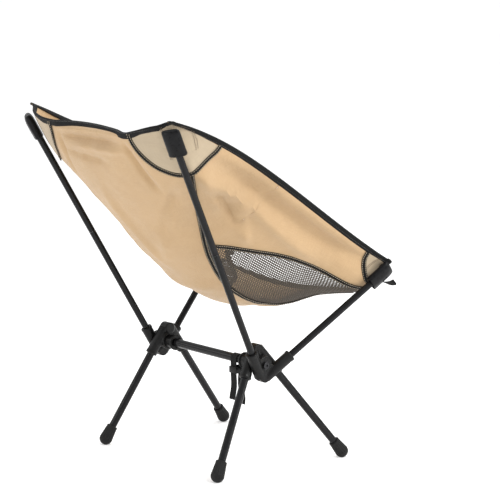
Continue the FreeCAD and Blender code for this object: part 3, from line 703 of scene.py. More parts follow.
def thicken(piece, thickness, offset=0.0):
    wall = piece.modifiers.new("thickness", "SOLIDIFY")
    wall.thickness, wall.offset, wall.use_even_offset = thickness, offset, False
    return wall


def outward_up(shape, outward_at):
    """Turns an open sheet's faces so that they look away from the sitter."""
    face = max(shape.faces, key=lambda candidate: candidate.calc_area())
    face.normal_update()
    middle = face.calc_center_median()
    if face.normal.dot(outward_at(middle)) < 0:
        bmesh.ops.reverse_faces(shape, faces=shape.faces)


def cloth_panel(name, low, high, shares, side, finish, thickness, lift=0.0, spacing=0.0032):
    """A sheet of the sling between two lines, each a function of the share, on one side of the chair."""
    first, last = shares
    width = float(np.linalg.norm(sling_surface(low(np.array(mix(first, last, 0.5))), mix(first, last, 0.5))
                                 - sling_surface(high(np.array(mix(first, last, 0.5))), mix(first, last, 0.5))))
    columns = max(3, round(width * 1.15 / spacing))
    rows = max(3, round((last - first) * SLING_LENGTH / spacing))
    shape, sideways, forward = lattice(columns, rows)
    share = mix(first, last, forward)
    across = side * mix(low(share), high(share), sideways)
    measured = lay_out(shape, sling_spot(across, share, lift), columns, rows)
    shape.normal_update()
    middle = side * 0.5 * (low(np.array(0.5)) + high(np.array(0.5)))
    facing = Vector((0, 0.5, -1)) + Vector((side * 0.6, 0, 0)) * (abs(float(middle)) > 0.3)
    outward_up(shape, lambda spot: facing)
    piece = add_piece(name, shape, finish)
    thicken(piece, thickness)
    return piece, measured


def follow_corner(piece, side, end):
    """Lets a piece of the sling bend where its corner slips off the pole."""
    direction, first, last = BACK_SLIP if end == "back" else FRONT_SLIP
    direction = Vector((direction.x * side, direction.y, direction.z))
    shift = Vector((0, HUB_BACK, 0))
    unit_direction = direction / direction.length_squared
    name = "right" if side < 0 else "left"
    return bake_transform(piece, "seat", f"{end}_corner_{name}", start=shift + unit_direction * first,
                    end=shift + unit_direction * last)


def path_frames(spots, outward):
    """Along, sideways and outward directions at each point of a line on the cloth."""
    along = unit(np.gradient(spots, axis=0))
    outward = unit(outward - (outward * along).sum(-1, keepdims=True) * along)
    return along, np.cross(outward, along), outward


def tape(name, line, width, thickness, finish, lift, spacing=0.004, crown=0.0003):
    """A narrow tape that lies on the cloth along a line of (across, share) places."""
    across, share = line
    spots = sling_spot(across, share)
    length = np.linalg.norm(np.diff(spots, axis=0), axis=1).sum()
    rows, columns = max(3, round(length / spacing)), 6
    shape, sideways, forward = lattice(columns, rows)
    way = np.concatenate([[0], np.linalg.norm(np.diff(spots, axis=0), axis=1).cumsum()]) / length
    even = np.linspace(0, 1, rows + 1)
    across_even, share_even = np.interp(even, way, across), np.interp(even, way, share)
    centre = sling_spot(across_even, share_even)
    _, beside, outward = path_frames(centre, sling_outward(across_even, share_even))
    row = np.round(forward * rows).astype(int)
    off = (sideways - 0.5) * width
    rise = lift + crown * (1 - (2 * sideways - 1) ** 4)
    placed = centre[row] + beside[row] * off[:, None] + outward[row] * rise[:, None]
    lay_out(shape, placed, columns, rows)
    shape.normal_update()
    mid = Vector(outward[len(outward) // 2])
    spot = Vector(centre[len(centre) // 2])
    face = min(shape.faces, key=lambda candidate: (candidate.calc_center_median() - spot).length)
    if face.normal.dot(mid) < 0:
        bmesh.ops.reverse_faces(shape, faces=shape.faces)
    piece = add_piece(name, shape, finish)
    thicken(piece, thickness)
    return piece


def stitches(name, lines, finish, pitch, lift, length=0.0030, thick=0.00060):
    """Rows of short stitches along lines of (across, share, sideways offset)."""
    shape = bmesh.new()
    for across, share, offset in lines:
        spots = sling_spot(across, share)
        steps = np.linalg.norm(np.diff(spots, axis=0), axis=1)
        total = steps.sum()
        way = np.concatenate([[0], steps.cumsum()]) / total
        count = max(2, int(total / pitch))
        even = (np.arange(count) + 0.5) / count
        a, s = np.interp(even, way, across), np.interp(even, way, share)
        centre = sling_spot(a, s)
        along, beside, outward = path_frames(centre, sling_outward(a, s))
        for index in range(count):
            x, y, z = along[index], beside[index], outward[index]
            spot = centre[index] + y * offset + z * lift
            turn = Matrix(((x[0], y[0], z[0], spot[0]), (x[1], y[1], z[1], spot[1]), (x[2], y[2], z[2], spot[2]),
                           (0, 0, 0, 1)))
            size = Matrix.Diagonal((length / 2, thick, thick * 0.8, 1))
            bmesh.ops.create_icosphere(shape, subdivisions=1, radius=1, matrix=turn @ size)
    return add_piece(name, shape, finish, sharp=180)


def turned_piece(name, start, direction, profile, sides, finish, closed=False):
    """A round piece: (distance along the axis, radius) pairs spun about the axis."""
    shape = bmesh.new()
    rows = [shape.verts.new((radius, 0, distance)) for distance, radius in profile]
    pairs = list(zip(rows, rows[1:])) + ([(rows[-1], rows[0])] if closed else [])
    edges = [shape.edges.new(pair) for pair in pairs]
    bmesh.ops.spin(shape, geom=rows + edges, axis=(0, 0, 1), cent=(0, 0, 0), steps=sides, angle=math.tau,
                   use_merge=True)
    bmesh.ops.remove_doubles(shape, verts=shape.verts, dist=1e-6)
    bmesh.ops.recalc_face_normals(shape, faces=shape.faces)
    turn = Matrix.Translation(start) @ direction.to_track_quat("Z", "Y").to_matrix().to_4x4()
    shape.transform(turn)
    return add_piece(name, shape, finish, sharp=35)


def tube_profile(start, end, outer, inner, edge=0.0003):
    """The closed section of a tube with eased ends."""
    return [(start, inner), (start, outer - edge), (start + edge, outer), (end - edge, outer), (end, outer - edge),
            (end, inner)]


def spread(low, high, count):
    return np.linspace(low, high, count)


# ---------------------------------------------------------------- stage


class CHAIR_OT_stage(bpy.types.Operator):
    """Add the camera, the pale floor and the soft studio lights"""

    bl_idname = "chair.stage"
    bl_label = "Stage"

    def execute(self, context):
        stage = context.scene.chair_stage
        pitch, heading = stage.camera_turn
        forward = Vector((math.cos(pitch) * math.sin(heading), math.cos(pitch) * math.cos(heading), math.sin(pitch)))
        camera = bpy.data.objects.new("camera", bpy.data.cameras.new("camera"))
        context.scene.collection.objects.link(camera)
        camera.location = stage.camera_place
        camera.rotation_euler = forward.to_track_quat("-Z", "Y").to_euler()
        camera.data.lens, camera.data.sensor_width = stage.lens, 36.0
        camera.data.shift_x, camera.data.shift_y = stage.camera_shift
        camera.data.clip_end = 400
        context.scene.camera = camera

        shape = bmesh.new()
        bmesh.ops.create_grid(shape, x_segments=2, y_segments=2, size=stage.floor_size / 2)
        mesh = bpy.data.meshes.new("floor")
        shape.to_mesh(mesh)
        shape.free()
        mesh.materials.append(plain_floor("pale_floor"))
        floor = bpy.data.objects.new("floor", mesh)
        context.scene.collection.objects.link(floor)

        world = bpy.data.worlds.new("studio")
        context.scene.world = world
        world.use_nodes = True
        back = world.node_tree.nodes["Background"]
        back.inputs[0].default_value = (1.0, 1.0, 1.0, 1)
        back.inputs[1].default_value = SKY_STRENGTH
        context.scene.view_settings.view_transform = "Standard"
        for name, place, size, power in LAMPS:
            lamp = bpy.data.lights.new(name, "AREA")
            lamp.shape, lamp.size, lamp.size_y, lamp.energy = "RECTANGLE", size, max(size, LAMP_HEIGHT), power
            light = bpy.data.objects.new(name, lamp)
            context.scene.collection.objects.link(light)
            light.location = place
            light.rotation_euler = (LAMPS_LOOK_AT - Vector(place)).to_track_quat("-Z", "Y").to_euler()
        return {"FINISHED"}


# ---------------------------------------------------------------- shock cords


def cord_route(arms, ends):
    """A line down one tube, round the yoke's bend and out along the other tube."""
    first, second = arms
    turn = math.pi - first.direction.angle(second.direction)
    tangent = CORD_BEND * math.tan(turn / 2)
    inward = (first.direction + second.direction).normalized()
    centre = first.apex + inward * (CORD_BEND / math.cos(turn / 2))
    points = [first.at(mix(ends[0], tangent, share)) for share in spread(0, 1, 24)]
    start, finish = first.at(tangent) - centre, second.at(tangent) - centre
    for share in spread(0, 1, 12)[1:-1]:
        points.append(centre + start.slerp(finish, share).normalized() * CORD_BEND)
    points += [second.at(mix(tangent, ends[1], share)) for share in spread(0, 1, 24)]
    return points


class CHAIR_OT_shock_cords(bpy.types.Operator):
    """Run the elastic cords through the tubes and yokes, knotted at both ends"""

    bl_idname = "chair.shock_cords"
    bl_label = "Shock cords"

    def execute(self, context):
        plug = TIP_LENGTH + TIP_PLUG + CORD_END_GAP
        for name, side in SIDES.items():
            legs, poles = [leg_arm(side, end) for end in ENDS], [pole_arm(side, end) for end in ENDS]
            runs = (("leg", legs, [arm.length - FOOT_FLOOR - CORD_END_GAP for arm in legs]),
                    ("pole", poles, [arm.length - plug for arm in poles]))
            for kind, arms, ends in runs:
                route = cord_route(arms, ends)
                self.cord(f"{kind}_shock_cord_{name}", f"{kind}_cord_{name}", route)
        return {"FINISHED"}

    def cord(self, name, node, route):
        line = bpy.data.curves.new(name, "CURVE")
        line.dimensions, line.bevel_depth, line.bevel_resolution = "3D", CORD_RADIUS, 3
        run = line.splines.new("POLY")
        run.points.add(len(route) - 1)
        for point, spot in zip(run.points, route):
            point.co = (*spot, 1)
        line.materials.append(FINISHES["cord"])
        cord = bpy.data.objects.new(name, line)
        bpy.context.scene.collection.objects.link(cord)
        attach(cord, "frame")
        shape = bmesh.new()
        for spot in (route[0], route[-1]):
            bmesh.ops.create_uvsphere(shape, u_segments=14, v_segments=8, radius=KNOT_RADIUS * 0.95,
                                      matrix=Matrix.Translation(spot))
        knots = add_piece(name + "_knots", shape, "cord")
        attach(knots, "frame")
        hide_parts(node)


# ---------------------------------------------------------------- sling


def binding_inner(share):
    return inset(1.0, share, -bpy.context.scene.chair_cloth.binding_width * 0.8)


def panel_edge(share):
    return np.minimum(seam_across(share), binding_inner(share))


def wing_start():
    shares = spread(0, 1, 401)
    return float(shares[np.argmax(inset(seam_across(shares), shares, 0.006) < 1)])


def seam_meets_patch():
    """Where the seam comes out from under the back corner patch."""
    middle, half, drop = BACK_PATCH
    shares = spread(0, 0.5, 501)
    arc = 0.012 + drop * np.sqrt(np.clip(1 - ((seam_across(shares) - middle) / half) ** 2, 0, 1))
    return float(shares[np.argmax(shares > arc)]) - 0.004


class CHAIR_OT_sling_panels(bpy.types.Operator):
    """Lay the middle panel and the two wings, in quarters that bend with their corners"""

    bl_idname = "chair.sling_panels"
    bl_label = "Sling panels"

    def execute(self, context):
        cloth = context.scene.chair_cloth
        edge = PANEL_EDGE / SLING_LENGTH
        start = wing_start()
        halves = {"back": (edge, 0.5), "front": (0.5, 1 - edge)}
        for name, side in SIDES.items():
            for end, shares in halves.items():
                piece, measured = cloth_panel(
                    f"middle_panel_{end}_{name}", lambda share: 0 * share, panel_edge, shares, side, "cloth",
                    cloth.cloth_thickness, spacing=cloth.cloth_spacing)
                follow_corner(piece, side, end)
                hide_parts("middle_panel")
                wing_shares = (start, 0.5) if end == "back" else (0.5, 1 - edge)
                piece, measured = cloth_panel(
                    f"wing_{end}_{name}", mesh_across, binding_inner, wing_shares, side, "cloth",
                    cloth.cloth_thickness, spacing=cloth.cloth_spacing)
                follow_corner(piece, side, end)
                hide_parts(f"wing_{name}")
        return {"FINISHED"}


class CHAIR_OT_netting(bpy.types.Operator):
    """Knit the netting windows at the front of the wings"""

    bl_idname = "chair.netting"
    bl_label = "Netting"

    def execute(self, context):
        cloth = context.scene.chair_cloth
        for name, side in SIDES.items():
            piece, area, size = self.window(f"netting_{name}", side, cloth.netting_pitch, cloth.netting_strand)
            follow_corner(piece, side, "front")
            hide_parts(f"mesh_{name}")
        return {"FINISHED"}

    def window(self, name, side, pitch, strand):
        """Six-sided holes in staggered rows, clipped to the window's outline."""
        shares = spread(MESH_START, 1, 120)
        line = sling_surface(mix(seam_across(shares), mesh_across(shares), 0.5), shares)
        reach = np.concatenate([[0], np.linalg.norm(np.diff(line, axis=0), axis=1).cumsum()])
        shape = bmesh.new()
        rise = pitch * 0.866
        radius = pitch / math.sqrt(3)
        holes = 0
        for row in range(-30, 31):
            for column in range(int(reach[-1] / pitch) + 1):
                along, beside = (column + 0.5 * (row % 2)) * pitch, row * rise
                if not 0.004 < along < reach[-1] - 0.004:
                    continue
                share = float(np.interp(along, reach, shares))
                middle = float(mix(seam_across(share), mesh_across(share), 0.5))
                place = float(inset(middle, share, beside))
                margin = 0.0015 / 0.33
                if not seam_across(share) - margin < place < float(mesh_across(share)) + margin:
                    continue
                holes += 1
                bmesh.ops.create_circle(shape, cap_ends=True, segments=6, radius=radius,
                                        matrix=Matrix.Translation((beside, along, 0)))
        bmesh.ops.remove_doubles(shape, verts=shape.verts, dist=pitch * 0.12)
        rim = bmesh.ops.inset_individual(shape, faces=shape.faces, thickness=strand * 0.5, use_even_offset=True)
        inner = [face for face in shape.faces if face not in set(rim["faces"])]
        bmesh.ops.delete(shape, geom=inner, context="FACES_ONLY")
        beside = np.array([vert.co.x for vert in shape.verts])
        along = np.array([vert.co.y for vert in shape.verts])
        share = np.interp(along, reach, shares)
        middle = mix(seam_across(share), mesh_across(share), 0.5)
        across = side * inset(middle, share, beside)
        for vert, spot in zip(shape.verts, sling_spot(across, share, -0.0003)):
            vert.co = Vector(spot)
        shape.normal_update()
        outward_up(shape, lambda spot: Vector((side * 0.8, 0, -0.6)))
        area = holes * rise * pitch
        piece = add_piece(name, shape, "netting")
        thicken(piece, strand * 0.6)
        width = float(np.ptp(beside))
        return piece, area, (width, float(reach[-1]))


class CHAIR_OT_edge_bindings(bpy.types.Operator):
    """Fold the black tape over the sling's whole edge"""

    bl_idname = "chair.edge_bindings"
    bl_label = "Edge bindings"

    def execute(self, context):
        width = context.scene.chair_cloth.binding_width
        for name, side in SIDES.items():
            for end, shares in (("back", (0.0, 0.5)), ("front", (0.5, 1.0))):
                share = spread(*shares, 140)
                self.bind(f"edge_binding_{name}_{end}", side * np.ones_like(share), share, width, side, end,
                          f"edge_binding_{name}")
                across = side * spread(0, 1, 140)
                edge = 0.0 if end == "back" else 1.0
                self.bind(f"edge_binding_{end}_{name}", across, edge * np.ones_like(across), width, side, end,
                          f"edge_binding_{end}")
        return {"FINISHED"}

    def bind(self, name, across, share, width, side, end, node):
        """A flattened tube of tape round the edge; its rim is full and its inner part thin."""
        spots = sling_spot(across, share)
        steps = np.linalg.norm(np.diff(spots, axis=0), axis=1)
        rows, around = max(6, round(steps.sum() / 0.005)), 16
        way = np.concatenate([[0], steps.cumsum()]) / steps.sum()
        even = spread(0, 1, rows + 1)
        a, s = np.interp(even, way, across), np.interp(even, way, share)
        edge = sling_spot(a, s)
        inward_a = a * (1 - 0.02) if abs(abs(a[0]) - 1) < 1e-9 and abs(a[-1] - a[0]) < 1e-9 else a
        inward_s = s if inward_a is not a else (s + 0.012 if s[0] < 0.5 else s - 0.012)
        along = unit(np.gradient(edge, axis=0))
        inward = unit(sling_spot(inward_a, inward_s) - edge)
        inward = unit(inward - (inward * along).sum(-1, keepdims=True) * along)
        outward = np.cross(along, inward)
        shape, round_share, forward = lattice(around, rows)
        row = np.round(forward * rows).astype(int)
        angle = round_share * math.tau
        slim = 0.00140 + 0.00050 * np.clip(np.cos(angle), 0, 1)
        x = (1 - np.cos(angle)) / 2 * width
        y = np.sin(angle) * slim * 1.6
        placed = edge[row] + inward[row] * x[:, None] + outward[row] * y[:, None]
        lay_out(shape, placed, around, rows)
        bmesh.ops.remove_doubles(shape, verts=shape.verts, dist=1e-5)
        bmesh.ops.holes_fill(shape, edges=[edge for edge in shape.edges if edge.is_boundary], sides=around + 2)
        bmesh.ops.recalc_face_normals(shape, faces=shape.faces)
        piece = add_piece(name, shape, "webbing", sharp=80)
        follow_corner(piece, side, end)
        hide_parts(node)


def seam_line(kind, side, shares):
    share = spread(*shares, 90)
    if kind == "seam":
        return side * seam_across(share), share
    return side * mesh_across(share), share


def arc_line(patch, side, end, span=(0.0, 1.0), count=70):
    """The half-moon edge of a corner patch."""
    middle, half, drop = patch
    limit = math.acos(min(1.0, max(-1.0, (0.975 - middle) / half)))
    angle = mix(math.pi, limit, spread(*span, count))
    across = middle + half * np.cos(angle)
    reach = drop * np.sin(angle)
    share = 0.012 + reach if end == "back" else 0.988 - reach
    return side * across, share


class CHAIR_OT_seam_tapes(bpy.types.Operator):
    """Cover the seams with black tape and two rows of stitches"""

    bl_idname = "chair.seam_tapes"
    bl_label = "Seam tapes"

    def execute(self, context):
        cloth = context.scene.chair_cloth
        begin = max(wing_start(), seam_meets_patch())
        runs = (
            ("seam", "back", (begin, 0.5)),
            ("seam", "front", (0.5, 0.975)),
            ("netting_top", "front", (0.505, 0.975)),
        )
        for name, side in SIDES.items():
            for kind, end, shares in runs:
                line = seam_line(kind, side, shares)
                label = f"{kind}_tape_{end}_{name}"
                pieces = [tape(label, line, cloth.tape_width, TAPE_THICKNESS, "webbing",
                               SEAM_TAPE_LIFT)]
                pieces.append(tape(f"{label}_inside", line, cloth.tape_width, TAPE_THICKNESS, "webbing",
                                   INSIDE_TAPE_LIFT))
                rows = [(*line, offset) for offset in (-STITCH_ROW * cloth.tape_width, STITCH_ROW * cloth.tape_width)]
                pieces.append(stitches(f"{kind}_stitches_{end}_{name}", rows, "thread",
                                       cloth.stitch_pitch, SEAM_STITCH_LIFT))
                for piece in pieces:
                    follow_corner(piece, side, end)
        return {"FINISHED"}


class CHAIR_OT_edge_stitches(bpy.types.Operator):
    """Sew the edge binding down with one row of stitches"""

    bl_idname = "chair.edge_stitches"
    bl_label = "Edge stitches"

    def execute(self, context):
        cloth = context.scene.chair_cloth
        inside = cloth.binding_width * 0.60
        for name, side in SIDES.items():
            for end, shares in (("back", (0.012, 0.5)), ("front", (0.5, 0.988))):
                share = spread(*shares, 120)
                edge = 0.0 if end == "back" else 1.0
                step = inside / SLING_LENGTH
                rows = [(side * inset(1.0, share, -inside), share, 0.0)]
                across = side * spread(0.0, 0.98, 120)
                rows.append((across, np.full_like(across, abs(edge - step)), 0.0))
                piece = stitches(f"edge_stitches_{end}_{name}", rows, "dark_thread", cloth.stitch_pitch,
                                 EDGE_STITCH_LIFT)
                follow_corner(piece, side, end)
        return {"FINISHED"}


class CHAIR_OT_corner_patches(bpy.types.Operator):
    """Sew the canvas half-moons, their tapes and their stitching on the corners"""

    bl_idname = "chair.corner_patches"
    bl_label = "Corner patches"

    def execute(self, context):
        cloth = context.scene.chair_cloth
        for name, side in SIDES.items():
            for end, patch in (("back", BACK_PATCH), ("front", FRONT_PATCH)):
                piece, measured = self.canvas(f"{end}_patch_cloth_{name}", patch, side, end)
                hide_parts(f"{end}_patch_{name}")
                line = arc_line(patch, side, end)
                rows = [(*line, offset) for offset in (-STITCH_ROW * cloth.tape_width, STITCH_ROW * cloth.tape_width)]
                pieces = [piece, tape(f"{end}_patch_tape_{name}", line, cloth.tape_width, TAPE_THICKNESS, "webbing",
                                      PATCH_TAPE_LIFT)]
                pieces.append(stitches(f"{end}_patch_stitches_{name}", rows, "thread",
                                       cloth.stitch_pitch, PATCH_STITCH_LIFT))
                pieces.append(self.window_stitches(f"{end}_pocket_stitches_{name}", side, end, cloth.stitch_pitch))
                for each in pieces:
                    follow_corner(each, side, end)
        return {"FINISHED"}

    def canvas(self, name, patch, side, end):
        middle, half, drop = patch
        columns, rows = 60, 30
        shape, sideways, forward = lattice(columns, rows)
        across = mix(middle - half * 0.995, 0.972, sideways)
        reach = drop * np.sqrt(np.clip(1 - ((middle - across) / half) ** 2, 0.0009, 1))
        share = 0.014 + reach * forward if end == "back" else 0.986 - reach * forward
        measured = lay_out(shape, sling_spot(side * across, share, PATCH_LIFT), columns, rows)
        shape.normal_update()
        facing = sling_outward(side * 0.85, 0.1 if end == "back" else 0.95)
        outward_up(shape, lambda spot: Vector(facing))
        piece = add_piece(name, shape, "canvas")
        thicken(piece, PATCH_THICKNESS)
        return piece, measured

    def window_stitches(self, name, side, end, pitch):
        """Two close rows of stitches down each side of the pocket."""
        arm = pole_arm(side, end)
        rows = []
        for offset in POCKET_STITCH_ROWS:
            across, share = pocket_line(arm, side, end, offset)
            rows.append((across, share, 0.0))
        return stitches(name, rows, "brown_thread", pitch * 0.8, POCKET_STITCH_LIFT)


def pocket_line(arm, side, end, offset):
    """The line on the sling beside a pole's end, at a sideways distance, as (across, share) places."""
    across, share = np.meshgrid(spread(0.45, 0.99, 150), spread(0.01, 0.30, 150) if end == "back"
                                else spread(0.88, 0.99, 150))
    spots = sling_surface(side * across, share)
    tip, direction = np.array(arm.at(arm.length)), np.array(arm.direction)
    outward = sling_outward(side * 0.88, 0.08 if end == "back" else 0.95)
    beside = unit(np.cross(direction, outward))
    relative = spots - tip
    found = []
    depth = 0.060 if end == "back" else 0.034
    for back in spread(-0.004, depth, 16):
        off = (relative @ direction + back) ** 2 + (relative @ beside - offset) ** 2
        spot = np.unravel_index(off.argmin(), off.shape)
        found.append((side * across[spot], share[spot]))
    line = np.array(found)
    return line[:, 0], line[:, 1]


class CHAIR_OT_pockets(bpy.types.Operator):
    """Make the black pockets that slip over the pole ends"""

    bl_idname = "chair.pockets"
    bl_label = "Pockets"

    def execute(self, context):
        for name, side in SIDES.items():
            for end in ENDS:
                piece = self.pocket(f"{end}_pocket_{name}", side, end)
                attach(piece, f"{end}_corner_{name}")
                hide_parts(f"{end}_boot_{name}")
        return {"FINISHED"}

    def pocket(self, name, side, end):
        """A bell of coated cloth: rings that widen from the closed top to a lipped mouth, with a crease down it."""
        arm = pole_arm(side, end)
        rings = ((0.0046, 0.62, 0.22), (0.0044, 0.88, 0.42), (0.0028, 0.97, 0.68), (-0.0020, 1.00, 0.88),
                 (-0.0090, 1.00, 0.98), (-0.0220, 0.99, 1.00), (-0.0340, 0.99, 1.00), (-0.0415, 1.00, 1.01),
                 (-0.0440, 1.01, 1.03))
        around = 48
        shape = bmesh.new()
        made = bmesh.ops.create_circle(shape, cap_ends=True, segments=around, radius=1)
        loop = made["verts"]
        first = [(vert, math.atan2(vert.co.y, vert.co.x)) for vert in loop]
        self.place_ring(first, rings[0])
        boundary = shape.edges[:]
        angles = {vert: angle for vert, angle in first}
        for ring in rings[1:]:
            grown = bmesh.ops.extrude_edge_only(shape, edges=boundary)["geom"]
            fresh = [item for item in grown if isinstance(item, bmesh.types.BMVert)]
            for vert in fresh:
                angles[vert] = math.atan2(vert.co.y / self.last_thin, vert.co.x / self.last_wide)
            self.place_ring([(vert, angles[vert]) for vert in fresh], ring)
            rim = set(fresh)
            boundary = [item for item in grown if isinstance(item, bmesh.types.BMEdge) and rim.issuperset(item.verts)]
        bmesh.ops.recalc_face_normals(shape, faces=shape.faces)
        outward, beside = pocket_facing(side, end)
        tip = arm.at(arm.length)
        turn = Matrix((
            (beside.x, outward.x, arm.direction.x, tip.x), (beside.y, outward.y, arm.direction.y, tip.y),
            (beside.z, outward.z, arm.direction.z, tip.z), (0, 0, 0, 1)))
        shape.transform(turn)
        bmesh.ops.recalc_face_normals(shape, faces=shape.faces)
        piece = add_piece(name, shape, "pocket", sharp=75)
        thicken(piece, 0.0009, -1.0)
        smooth = piece.modifiers.new("rounding", "SUBSURF")
        smooth.levels = smooth.render_levels = 1
        return piece

    def place_ring(self, pairs, ring):
        height, wide, thin = ring
        self.last_wide, self.last_thin = BOOT_WIDE * wide, BOOT_THIN * thin
        for vert, angle in pairs:
            crease = 0.0016 * math.exp(-((angle - math.pi / 2) / 0.30) ** 2) * min(1.0, max(0.0, -height / 0.012))
            pinch = 1 + 0.035 * math.sin(3 * angle + 0.6) * min(1.0, max(0.0, -height / 0.02))
            squared = math.copysign(abs(math.cos(angle)) ** 0.72, math.cos(angle))
            vert.co = Vector((squared * self.last_wide * pinch, math.sin(angle) * self.last_thin + crease, height))


class CHAIR_OT_pull_tabs(bpy.types.Operator):
    """Sew the ribbon loops under the front pockets"""

    bl_idname = "chair.pull_tabs"
    bl_label = "Pull tabs"

    def execute(self, context):
        for name, side in SIDES.items():
            arm = pole_arm(side, "front")
            root = arm.at(arm.length - BOOT_DEPTH * 0.5) + Vector((0, -BOOT_THIN, -0.0125))
            piece = self.ribbon(f"pull_ribbon_{name}", root, side)
            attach(piece, f"front_corner_{name}")
            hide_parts(f"pull_tab_{name}")
        return {"FINISHED"}

    def ribbon(self, name, root, side):
        """A doubled ribbon: out along the top, round a tight bend and back underneath."""
        columns, rows = 6, 44
        shape, sideways, forward = lattice(columns, rows)
        way = forward
        reach = 0.0255 * np.sin(math.pi * np.clip(way, 0, 1)) ** 0.85
        lower = np.where(way > 0.5, -1.0, 1.0) * 0.0012 * np.sin(math.pi * way) ** 0.5
        far = reach / 0.025
        droop = -0.0085 * far + 0.0060 * far**3 + (sideways - 0.5) * 0.0066 * far
        x = (sideways - 0.5) * 0.0085 + side * 0.004 * far**2
        spots = np.stack([root.x + x, root.y - reach, root.z + lower + droop], -1)
        lay_out(shape, spots, columns, rows)
        bmesh.ops.recalc_face_normals(shape, faces=shape.faces)
        piece = add_piece(name, shape, "webbing", sharp=80)
        thicken(piece, 0.0009)
        return piece


# ---------------------------------------------------------------- frame


class CHAIR_OT_tubes(bpy.types.Operator):
    """Turn the crossbar, the legs and the poles as coated tubes with eased ends"""

    bl_idname = "chair.tubes"
    bl_label = "Tubes"

    def execute(self, context):
        sides = context.scene.chair_frame.tube_sides
        self.sides = sides
        bar = self.tube("crossbar_tube", Arm(hub_point(-1, BAR_HALF), hub_point(1, BAR_HALF)), 0.0, 2 * BAR_HALF,
                        BAR_RADIUS, 0.0012)
        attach(bar, "frame")
        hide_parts("crossbar")
        for name, side in SIDES.items():
            for end in ENDS:
                arm = leg_arm(side, end)
                top = LEG_SOCKET[end] - SOCKET_DEPTH
                leg = self.tube(f"{end}_leg_coated_{name}", arm, top + PLUG_FLANGE, arm.length - FOOT_FLOOR,
                                LEG_RADIUS, LEG_WALL)
                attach(leg, f"{end}_leg_{name}")
                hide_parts(f"{end}_leg_{name}_tube")
            arm = pole_arm(side, "back")
            lower = self.tube(f"back_pole_lower_coated_{name}", arm, POLE_SOCKET["back"] - SOCKET_DEPTH, BACK_JOINT,
                              POLE_RADIUS, POLE_WALL)
            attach(lower, f"back_pole_lower_{name}")
            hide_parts(f"back_pole_lower_{name}")
            upper = self.tube(f"back_pole_upper_coated_{name}", arm, BACK_JOINT + JOINT_GAP,
                              arm.length - TIP_LENGTH, POLE_RADIUS, POLE_WALL)
            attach(upper, f"back_pole_upper_{name}")
            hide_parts(f"back_pole_upper_{name}")
            arm = pole_arm(side, "front")
            pole = self.tube(f"front_pole_coated_{name}", arm, POLE_SOCKET["front"] - SOCKET_DEPTH,
                             arm.length - TIP_LENGTH, POLE_RADIUS, POLE_WALL)
            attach(pole, f"front_pole_{name}")
            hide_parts(f"front_pole_{name}")
        return {"FINISHED"}

    def tube(self, name, arm, start, end, radius, wall):
        profile = tube_profile(start, end, radius, radius - wall, 0.0007)
        return turned_piece(name, arm.apex, arm.direction, profile, self.sides, "tube", closed=True)


class CHAIR_OT_tube_ends(bpy.types.Operator):
    """Turn the pole tips, the leg plugs and the ferrules"""

    bl_idname = "chair.tube_ends"
    bl_label = "Tube ends"

    def execute(self, context):
        sides = context.scene.chair_frame.tube_sides
        self.sides = sides
        for name, side in SIDES.items():
            for end in ENDS:
                arm = pole_arm(side, end)
                start = arm.length - TIP_LENGTH - TIP_PLUG
                bore = POLE_RADIUS - POLE_WALL
                crown = arm.length
                profile = [(start, CORD_HOLE), (start, bore - 0.0004), (start + 0.0004, bore),
                           (start + TIP_PLUG, bore), (start + TIP_PLUG, TIP_RADIUS - 0.0002),
                           (start + TIP_PLUG + 0.0002, TIP_RADIUS)]
                for turn in spread(0, math.pi / 2, 7):
                    profile.append((crown - TIP_ROUND + TIP_ROUND * math.sin(turn),
                                    TIP_RADIUS - TIP_ROUND + TIP_ROUND * math.cos(turn)))
                profile.append((crown, CORD_HOLE))
                tip = turned_piece(f"{end}_tip_moulded_{name}", arm.apex, arm.direction, profile, sides,
                                   "end_plastic", closed=True)
                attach(tip, f"back_pole_upper_{name}" if end == "back" else f"front_pole_{name}")
                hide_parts(f"{end}_pole_tip_{name}")
                leg = leg_arm(side, end)
                top = LEG_SOCKET[end] - SOCKET_DEPTH
                bore = LEG_RADIUS - LEG_WALL
                profile = [(top, CORD_HOLE + 0.0004), (top, LEG_RADIUS - 0.0004), (top + 0.0004, LEG_RADIUS),
                           (top + PLUG_FLANGE, LEG_RADIUS), (top + PLUG_FLANGE, bore), (top + PLUG_LENGTH, bore),
                           (top + PLUG_LENGTH, CORD_HOLE), (top + 0.0004, CORD_HOLE)]
                plug = turned_piece(f"{end}_leg_plug_moulded_{name}", leg.apex, leg.direction, profile, sides,
                                    "end_plastic", closed=True)
                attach(plug, f"{end}_leg_{name}")
                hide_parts(f"{end}_leg_{name}_end_plug")
            arm = pole_arm(side, "back")
            outer = POLE_RADIUS - POLE_WALL - 0.00005
            profile = tube_profile(BACK_JOINT - FERRULE_LENGTH / 2, BACK_JOINT + FERRULE_LENGTH / 2, outer,
                                   outer - 0.0007)
            ferrule = turned_piece(f"ferrule_turned_{name}", arm.apex, arm.direction, profile, sides, "ferrule",
                                   closed=True)
            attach(ferrule, body_of(frame["nodes"][f"back_pole_ferrule_{name}"])[0])
            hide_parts(f"back_pole_ferrule_{name}")
        return {"FINISHED"}


